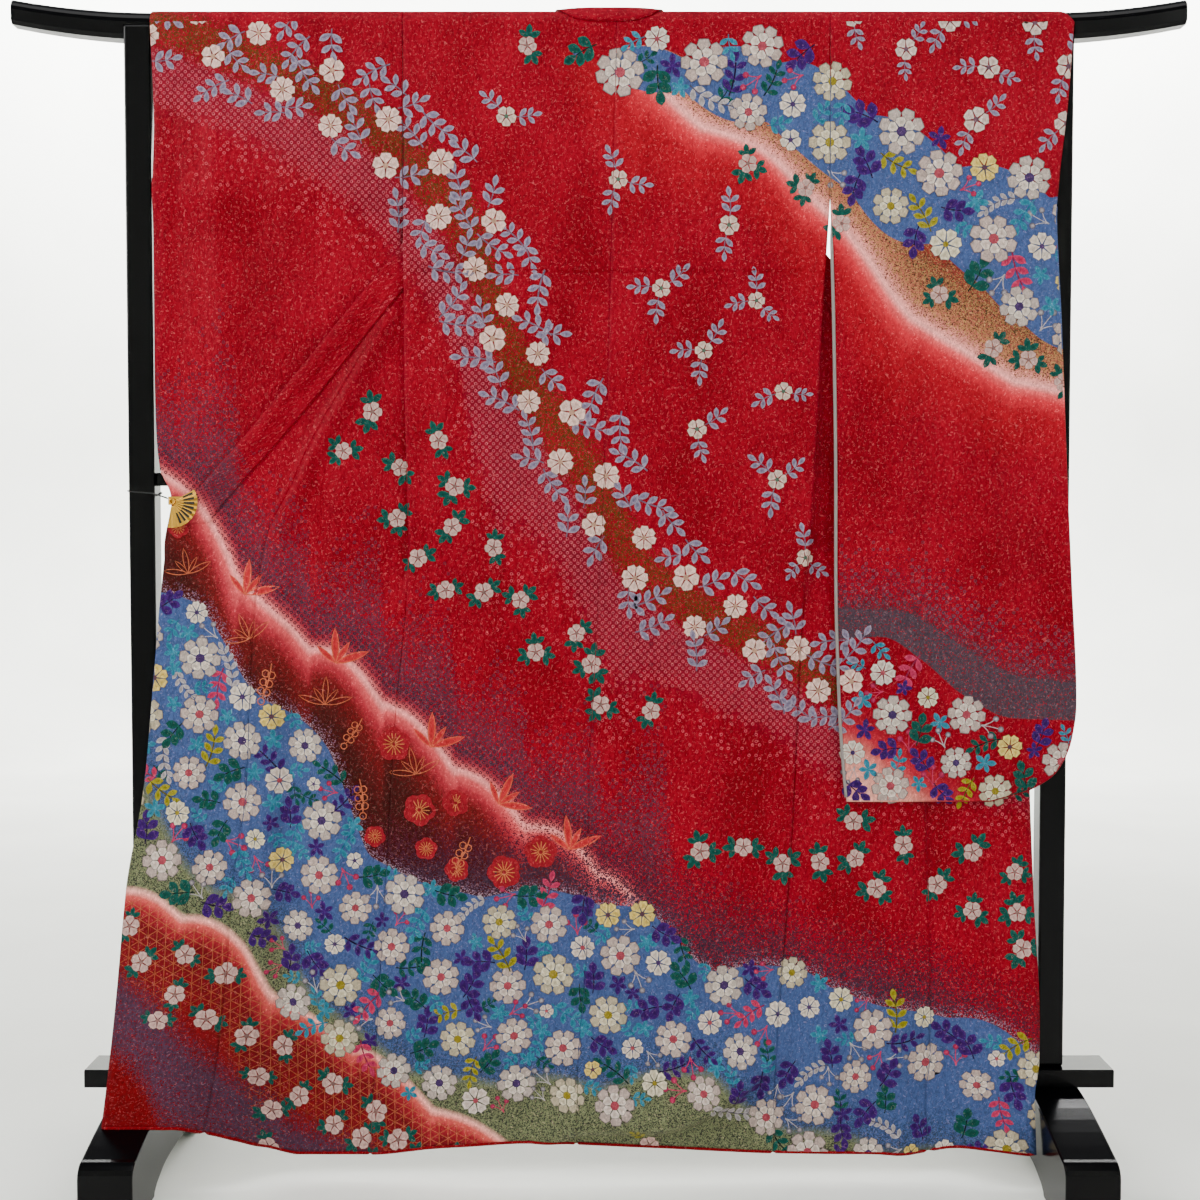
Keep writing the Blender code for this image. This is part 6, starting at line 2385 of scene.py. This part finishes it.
        kinds = ((Motif.RAYED, Paints.SCARLET, 0.020, 0.026, 0.0, 6.28),
                 (Motif.DRAWN_LEAVES, Paints.GOLD, 0.032, 0.042, -0.5, 0.5),
                 (Motif.RAYED, Paints.SCARLET, 0.015, 0.019, 0.0, 6.28),
                 (Motif.DRAWN_BUDS, Paints.GOLD, 0.042, 0.052, -2.2, -0.9))
        for k, (x, z) in enumerate(self.scatter(maroon, (-0.66, 0.10, 0.40, 0.98), 0.0260, 0.1)):
            motif, paint, least, most, low, high = kinds[k % 4]
            self.lay(motif, 1, Spot(x, z, self.random.uniform(least, most),
                                    self.random.uniform(low, high), paint))

    def plant_shore(self) -> None:
        """Rose blossoms below the shore's glow, five-leaved stars on it, pale sprigs above."""
        plan = self.plan

        def below(x: Array, z: Array) -> Array:
            """A band below the shore's edge."""
            away = plan.shore.distance(x, z)
            return ((away < -0.050) & (away > -0.150)).astype(float)

        for x, z in self.scatter(below, (-0.72, -0.10, 0.02, 0.42), 0.021):
            self.sprig(x, z, self.random.uniform(0.0145, 0.0175), (Motif.FIVE, Paints.ROSE),
                       (Motif.TRIO, Paints.GREEN_LEAF), 2, (0.85, 1.0))

        def near(x: Array, z: Array) -> Array:
            """A narrower band close below the shore's edge."""
            away = plan.shore.distance(x, z)
            return ((away < -0.03) & (away > -0.08) & (z < 0.20)).astype(float)

        for k, (x, z) in enumerate(self.scatter(near, (-0.50, -0.05, 0.03, 0.22), 0.03)):
            paint = (Paints.TEAL_LEAF, Paints.PURPLE_LEAF)[k % 2]
            self.lay(Motif.STAR, 4, Spot(x, z, 0.022, self.around(), paint))

        def olive(x: Array, z: Array) -> Array:
            """The olive band between the lower field and the shore."""
            below = plan.field_low.distance(x, z) < -0.03
            return (below & (plan.shore.distance(x, z) > 0.02)).astype(float)

        for x, z in self.scatter(olive, (-0.70, 0.20, 0.03, 0.62), 0.040):
            self.sprig(x, z, self.random.uniform(0.013, 0.016), (Motif.BROAD, Paints.ROSE),
                       (Motif.SPRAY, Paints.OLIVE_LEAF), 2, (1.5, 2.1))

    def plant(self) -> list[Placed]:
        """Places every motif, those that claim most room first.

        Returns:
            The motifs in arrays, one group for each shape and layer.
        """
        self.plant_stream()
        self.plant_drawn()
        self.plant_fields()
        self.plant_shore()
        self.plant_sprigs()
        placed = []
        for (motif, lift), spots in self.spots.items():
            numbers = np.array([spot[:4] for spot in spots])
            layers = lift + 4 * (np.arange(len(spots)) % 4)
            placed.append(Placed(SHAPES[motif], numbers[:, :2], numbers[:, 2], numbers[:, 3],
                                 tuple(spot.paint for spot in spots), layers))
        return placed


@dataclass
class MotifLayer:
    """The painted motifs of one outer face, cut at its seams, just above its cloth."""

    face: Face
    cloth: float = 0.0012
    first: float = 0.00022      # the lowest layer's height above the cloth
    layer: float = 0.000030     # between two layers

    def above(self, x: Array, v: Array, height: Array) -> Array:
        """Points above the outer face: the middle plus the normal times half the cloth and the height.

        Args:
            x: Places across.
            v: Heights along the cloth.
            height: How far each point lies off the cloth.

        Returns:
            Points, three coordinates each.
        """
        small = 0.0012
        middle = self.face.middle(x, v)
        across = self.face.middle(x + small, v) - self.face.middle(x - small, v)
        up = self.face.middle(x, v + small) - self.face.middle(x, v - small)
        normal = np.cross(across, up) * -self.face.outward
        normal /= np.linalg.norm(normal, axis=-1, keepdims=True) + 1e-12
        return middle + normal * (self.cloth / 2 + height)[..., None]

    def build(self, placed: Sequence[Placed], paint: bpy.types.Material) -> bpy.types.Object | None:
        """Joins all the motifs that reach this face into one mesh.

        Args:
            placed: The garden's motifs.
            paint: Their material.

        Returns:
            The piece, or None if no motif reaches the face.
        """
        points, faces, dyes, cloth, count = [], [], [], [], 0
        for group in placed:
            x, z = group.place[:, 0], group.place[:, 1]
            low, high = self.face.span(np.clip(z, self.face.low, self.face.high))
            low, high = np.minimum(low, high), np.maximum(low, high)
            reach = 1.25 * group.size
            near = ((x + reach > low) & (x - reach < high)
                    & (z + reach > self.face.low) & (z - reach < self.face.high))
            if not near.any():
                continue
            size, turn = group.size[near, None], group.turn[near, None]
            u, w = group.shape.points[:, 0], group.shape.points[:, 1]
            px = x[near, None] + size * (u * np.cos(turn) - w * np.sin(turn))
            pz = z[near, None] + size * (u * np.sin(turn) + w * np.cos(turn))
            v = np.clip(pz, self.face.low, self.face.high)
            low, high = self.face.span(v)
            low, high = np.minimum(low, high), np.maximum(low, high)
            held = np.clip(px, low + 0.0004, high - 0.0004)
            whole = np.abs(held - px) + np.abs(v - pz) < 1e-9
            kept = whole.any(axis=1)
            if not kept.any():
                continue
            held, v, whole = held[kept], v[kept], whole[kept]
            layers = group.lift[near][kept][:, None] + group.shape.layer[None, :]
            where = self.above(held, v, self.first + self.layer * layers)
            table = np.array([[linear(c)[:3] for c in p.value] for p in group.paint])[near][kept]
            colour = table[:, group.shape.tint]
            number = len(group.shape.points)
            corner = group.shape.faces[None] + (np.arange(len(held)) * number)[:, None, None]
            inside = whole[:, group.shape.faces].any(axis=-1)
            points.append(where.reshape(-1, 3))
            faces.append(corner[inside] + count)
            dyes.append(colour.reshape(-1, 3))
            cloth.append(np.stack([held, v], axis=-1).reshape(-1, 2))
            count += where.shape[0] * number
        if not points:
            return None
        every = np.concatenate(faces)
        if self.face.outward > 0:
            every = every[:, ::-1]
        used, every = np.unique(every, return_inverse=True)
        obj = put_mesh(self.face.name + "_motifs", np.concatenate(points)[used], every.reshape(-1, 3),
                       uv=np.concatenate(cloth)[used], colours=np.concatenate(dyes)[used])
        attach(obj, paint)
        LOG.info("%s: %d triangles", obj.name, len(every.reshape(-1, 3)))
        return obj


@dataclass
class HemRim:
    """The padded rim that rolls out along the hem: a tube round the panels' lower edge."""

    radius: float = 0.0024
    sides: int = 8
    around: float = 0.002       # cloth for each radian round the rim, metres
    colour: str = "#6E000C"

    def build(self, name: str, line: Array, silk: bpy.types.Material) -> None:
        """Each ring is the line's point plus the radius times the cosine and sine of two normals.

        Args:
            name: The rim's name.
            line: The points of the hem.
            silk: Its material.
        """
        tangent = np.gradient(line, axis=0)
        tangent /= np.linalg.norm(tangent, axis=-1, keepdims=True) + 1e-12
        aside = np.cross(tangent, np.array([0.0, 0.0, 1.0]))
        aside /= np.linalg.norm(aside, axis=-1, keepdims=True) + 1e-12
        upward = np.cross(aside, tangent)
        turn = np.linspace(0.0, 2 * math.pi, self.sides + 1)
        reach = np.full(len(line), self.radius)
        reach[[0, -1]] = 0.0
        rings = (line[:, None] + reach[:, None, None] * (np.cos(turn)[None, :, None] * aside[:, None]
                                                         + np.sin(turn)[None, :, None] * upward[:, None]))
        rings = rings[:, :-1]
        index = np.arange(rings.shape[0] * self.sides).reshape(-1, self.sides)
        after = np.roll(index, -1, axis=1)
        faces = np.stack([index[:-1], after[:-1], after[1:], index[1:]], axis=-1).reshape(-1, 4)
        along = np.linspace(0.0, float(np.abs(np.diff(line[:, 0])).sum()), len(line))
        cloth = np.stack(np.broadcast_arrays(along[:, None], self.around * turn[None, :-1]), axis=-1)
        normal = np.cross(rings[1, 1] - rings[1, 0], rings[2, 0] - rings[1, 0])
        if np.sum(normal * (rings[1, 0] - line[1])) < 0:
            faces = faces[:, ::-1]
        rim = put_mesh(name, rings.reshape(-1, 3), faces, uv=cloth.reshape(-1, 2),
                       colours=np.tile(linear(self.colour)[:3], (rings.shape[0] * self.sides, 1)))
        attach(rim, silk)


@dataclass
class LiningEdge:
    """The strip of lining that shows along a sleeve's open inner edge."""

    start: float = 1.400
    end: float = 0.556
    beside: tuple[float, ...] = (-0.0030, -0.0024, -0.0010, 0.0004, 0.0010)
    ahead: tuple[float, ...] = (0.0006, -0.0006, -0.0016, -0.0017, -0.0010)
    thickness: float = 0.0005

    def build(self, sleeve: Sleeve, lining: bpy.types.Material) -> None:
        """The sleeve's near face, moved out a little, beside its inner edge.

        Args:
            sleeve: The sleeve that it belongs to.
            lining: Its material.
        """
        z = spaced(self.start, self.end, 0.01)
        taper = smooth_step((self.start - z) / 0.05)[:, None]
        x = sleeve.near_span(z)[0][:, None] + np.array(self.beside) * taper
        points = sleeve.creased(x, np.broadcast_to(z[:, None], x.shape), sleeve.near)
        points[..., 1] += np.array(self.ahead) * (0.4 + 0.6 * taper)
        strip = put_mesh("sleeve_lining_edge", points.reshape(-1, 3), grid_faces(len(z), x.shape[1]))
        wall = strip.modifiers.new("Wall", "SOLIDIFY")
        wall.thickness = self.thickness
        wall.offset = 0.0
        attach(strip, lining)


@dataclass
class Clip:
    """The gilt fan clip: its solids, black inlays between its sticks, and a ring on its rivet."""

    pivot: tuple[float, float, float] = (-0.6205, -0.0246, 0.985)
    radius: float = 0.0375
    start: float = math.radians(-99)
    end: float = math.radians(29)
    pleats: int = 10
    pleat: float = 0.0007
    plate: float = 0.0012
    inlay: tuple[float, float] = (0.46, 0.88)       # from and to, in radii
    inlay_rise: float = 0.0001                      # above the plate
    ring: float = 0.0036                            # the ring's radius, to the wire's middle
    wire: float = 0.0011                            # the wire's radius
    ring_place: tuple[float, float, float] = (0.0010, -0.0022, 0.0010)     # from the pivot
    ring_sides: tuple[int, int] = (20, 8)

    def build_inlays(self, enamel: bpy.types.Material) -> None:
        """Tapered strips in the pleats' valleys, a tenth of a millimetre above the plate.

        Args:
            enamel: Their material.
        """
        step = (self.end - self.start) / (2 * self.pleats)
        middle = self.start + step * np.arange(5, 2 * self.pleats, 2)
        aside = np.array([-0.5, 0.0, 0.5])
        run = np.linspace(*self.inlay, 4)
        angle = middle[:, None, None] + step * aside[None, None, :] + 0 * run[None, :, None]
        reach = self.radius * run[None, :, None]
        fold = self.pleat * (1.0 - 2.0 * np.abs(aside))[None, None, :] * run[None, :, None]
        points = np.stack([self.pivot[0] + reach * np.cos(angle),
                           self.pivot[1] + fold - self.plate / 2 - self.inlay_rise + 0 * angle,
                           self.pivot[2] + reach * np.sin(angle)], axis=-1)
        faces = np.concatenate([grid_faces(4, 3, start=12 * k) for k in range(len(middle))])
        inlays = put_mesh("clip_inlays", points.reshape(-1, 3), faces)
        attach(inlays, enamel)

    def build_ring(self, brass: bpy.types.Material) -> None:
        """A torus on the rivet that the cord is tied to.

        Args:
            brass: Its material.
        """
        around, across = self.ring_sides
        big = np.linspace(0.0, 2 * math.pi, around + 1)[:-1, None]
        small = np.linspace(0.0, 2 * math.pi, across + 1)[None, :-1]
        reach = self.ring + self.wire * np.cos(small)
        middle = np.add(self.pivot, self.ring_place)
        points = np.stack([middle[0] + reach * np.cos(big), middle[1] + self.wire * np.sin(small) + 0 * big,
                           middle[2] + reach * np.sin(big)], axis=-1)
        index = np.arange(around * across).reshape(around, across)
        right, down = np.roll(index, -1, axis=0), np.roll(index, -1, axis=1)
        faces = np.stack([index, down, np.roll(right, -1, axis=1), right], axis=-1).reshape(-1, 4)
        ring = put_mesh("clip_ring", points.reshape(-1, 3), faces)
        attach(ring, brass)

    def build(self, frame: dict) -> None:
        """Dresses the solids and adds the details.

        Args:
            frame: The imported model.
        """
        brass = BRASS.make()
        redress(frame, ("clip_fan", "clip_jaw"), brass)
        redress(frame, ("clip_tie",), BRAID.make())
        self.build_inlays(ENAMEL.make())
        self.build_ring(brass)
        LOG.info("clip: gilt, with inlays and a ring")


# Stand and setting

@dataclass
class Stand:
    """The black lacquered stand, whose solids keep their shapes."""

    nodes: tuple[str, ...] = ("top_bar", "post_left", "post_right", "mid_rail", "low_board",
                              "foot_left", "foot_right")

    def dress(self, frame: dict) -> None:
        """Gives every wooden node its lacquer."""
        redress(frame, self.nodes, LACQUER.make())


@dataclass
class Studio:
    """A round pale floor that curves up into a wall, soft lights and the photograph's camera."""

    camera_place: tuple[float, float, float] = (0.0, -2.3, 0.93)
    camera_tilt: float = 87.8           # degrees from straight down
    lens: float = 46.92                 # millimetres on a sensor of 36
    shift: float = 1.0 / 1200.0
    wall: float = 6.0                   # how far from the stand the wall stands, all round
    bend: float = 1.4                   # radius of the curve between floor and wall
    height: float = 4.2                 # the wall's height, open above
    flat: tuple[float, float] = (0.0004, 2.0)       # rings on the level floor, the first under the stand
    room: str = "#F2F4F8"
    room_light: float = 0.30

    def build_camera(self) -> None:
        """The camera at the photograph's viewing angle."""
        data = bpy.data.cameras.new("camera")
        data.sensor_width = 36.0
        data.lens = self.lens
        data.shift_x = self.shift
        camera = bpy.data.objects.new("camera", data)
        camera.location = self.camera_place
        camera.rotation_euler = (math.radians(self.camera_tilt), 0.0, 0.0)
        bpy.context.scene.collection.objects.link(camera)
        bpy.context.scene.camera = camera

    def build_floor(self) -> None:
        """A profile of floor, quarter circle and wall, turned about the upright axis."""
        turn = np.linspace(0.0, math.pi / 2, 16)
        reach = np.concatenate([self.flat, self.wall - self.bend + self.bend * np.sin(turn), [self.wall]])
        z = np.concatenate([[0.0, 0.0], self.bend - self.bend * np.cos(turn), [self.height]])
        around = np.linspace(0.0, 2 * math.pi, 97)
        points = np.stack(np.broadcast_arrays(
            reach[:, None] * np.cos(around), reach[:, None] * np.sin(around), z[:, None]), axis=-1)
        floor = put_mesh("studio_floor", points.reshape(-1, 3), grid_faces(len(z), len(around), flip=True))
        floor.data.materials.append(BACKDROP.make())

    def build_light(self, name: str, place: tuple[float, float, float], aim: tuple[float, float, float],
                    size: tuple[float, float], power: float) -> None:
        """A soft box that looks at a point.

        Args:
            name: The light's name.
            place: Where it stands.
            aim: What it looks at.
            size: Its width and height.
            power: Its power in watts.
        """
        data = bpy.data.lights.new(name, "AREA")
        data.shape = "RECTANGLE"
        data.size, data.size_y = size
        data.energy = power
        light = bpy.data.objects.new(name, data)
        light.location = place
        away = np.array(place) - np.array(aim)
        flat = math.hypot(away[0], away[1])
        light.rotation_euler = (math.atan2(flat, away[2]), 0.0, math.atan2(away[0], -away[1]))
        bpy.context.scene.collection.objects.link(light)

    def build(self) -> None:
        """The whole setting."""
        self.build_camera()
        self.build_floor()
        self.build_light("soft_left", (-3.1, -1.8, 2.5), (0.0, 0.0, 0.9), (1.8, 1.8), 118.0)
        self.build_light("soft_right", (2.8, -2.4, 2.2), (0.0, 0.0, 0.9), (1.8, 2.2), 56.0)
        self.build_light("soft_top", (0.0, -1.0, 3.6), (0.0, 0.0, 0.8), (3.0, 1.6), 56.0)
        self.build_light("soft_wall", (0.0, 4.2, 4.0), (0.0, 6.0, 1.4), (6.0, 0.8), 900.0)
        world = bpy.data.worlds.new("pale room")
        world.use_nodes = True
        world.node_tree.nodes["Background"].inputs["Color"].default_value = linear(self.room)
        world.node_tree.nodes["Background"].inputs["Strength"].default_value = self.room_light
        bpy.context.scene.world = world


def overlap_area() -> float:
    """The overlap panel's flat area: a rectangle up to the collar's end, then a triangle to the tip.

    Returns:
        The area, square metres.
    """
    width, length = OVERLAP_CUT
    taper = OverlapPanel.tip - OverlapPanel.collar_end
    return width * (length - taper) + width * taper / 2


def main() -> None:
    """Builds every piece in order."""
    logging.basicConfig(level=logging.INFO, format="%(message)s")
    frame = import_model()

    Studio().build()
    Stand().dress(frame)
    plan = DyersPlan()
    silk, painted = FiguredSilk().make(), FiguredSilk().make_painted()
    lining = LINING.make()

    sheets: list[Sheet] = [
        BackPanel("back_left_silk", "back_left", (0.30, 1.69), flip=True, rows=LEFT_FRONT),
        BackPanel("back_right_silk", "back_right", (0.30, 1.69), rows=RIGHT_FRONT),
        FrontPanel("front_left_silk", "front_left", (0.245, 1.66), rows=LEFT_FRONT,
                   without=WAVES + SKIES),
        FrontPanel("front_right_silk", "front_right", (0.245, 1.66), flip=True, rows=RIGHT_FRONT,
                   counts=(8, 8, 24), step=0.009, without=WAVES + SKIES),
        OverlapPanel("okumi_left_silk", "okumi_left", OVERLAP_CUT, area=overlap_area(), rows=LEFT_FRONT),
        OverlapPanel("okumi_right_silk", "okumi_right", OVERLAP_CUT, area=overlap_area(), flip=True,
                     rows=RIGHT_FRONT, across=16, step=0.009),
        Collar("collar_silk", "collar", (0.055, 1.80), flip=True, without=WAVES + SKIES),
        Sleeve("sleeve_left_silk", "sleeve_left", SLEEVE_CUT, flip=True, rows=LEFT_SLEEVE,
               near="left_near", far="left_far", cuff=-0.6450, step=0.008),
        Sleeve("sleeve_right_silk", "sleeve_right", SLEEVE_CUT, rows=RIGHT_SLEEVE,
               near="right_near", far="right_far", cuff=0.6400,
               without=("stream", "glow", "ford", "field_top", "field_low", "shore", "dusk")),
    ]
    placed = Garden(plan).plant()
    Clip().build(frame)
    for sheet in sheets:
        sheet.build(plan.fields, silk, lining)
        if isinstance(sheet, (BackPanel, FrontPanel)):
            HemRim().build(sheet.node + "_hem_rim", sheet.hem, painted)
        if sheet.name == "sleeve_right_silk":
            # The lining strip at the right sleeve's inner edge takes the lining painted greyer as shade.
            LiningEdge().build(sheet, SHADED_LINING.make())
        for face in sheet.faces():
            MotifLayer(face).build(placed, painted)


if __name__ == "__main__":
    main()
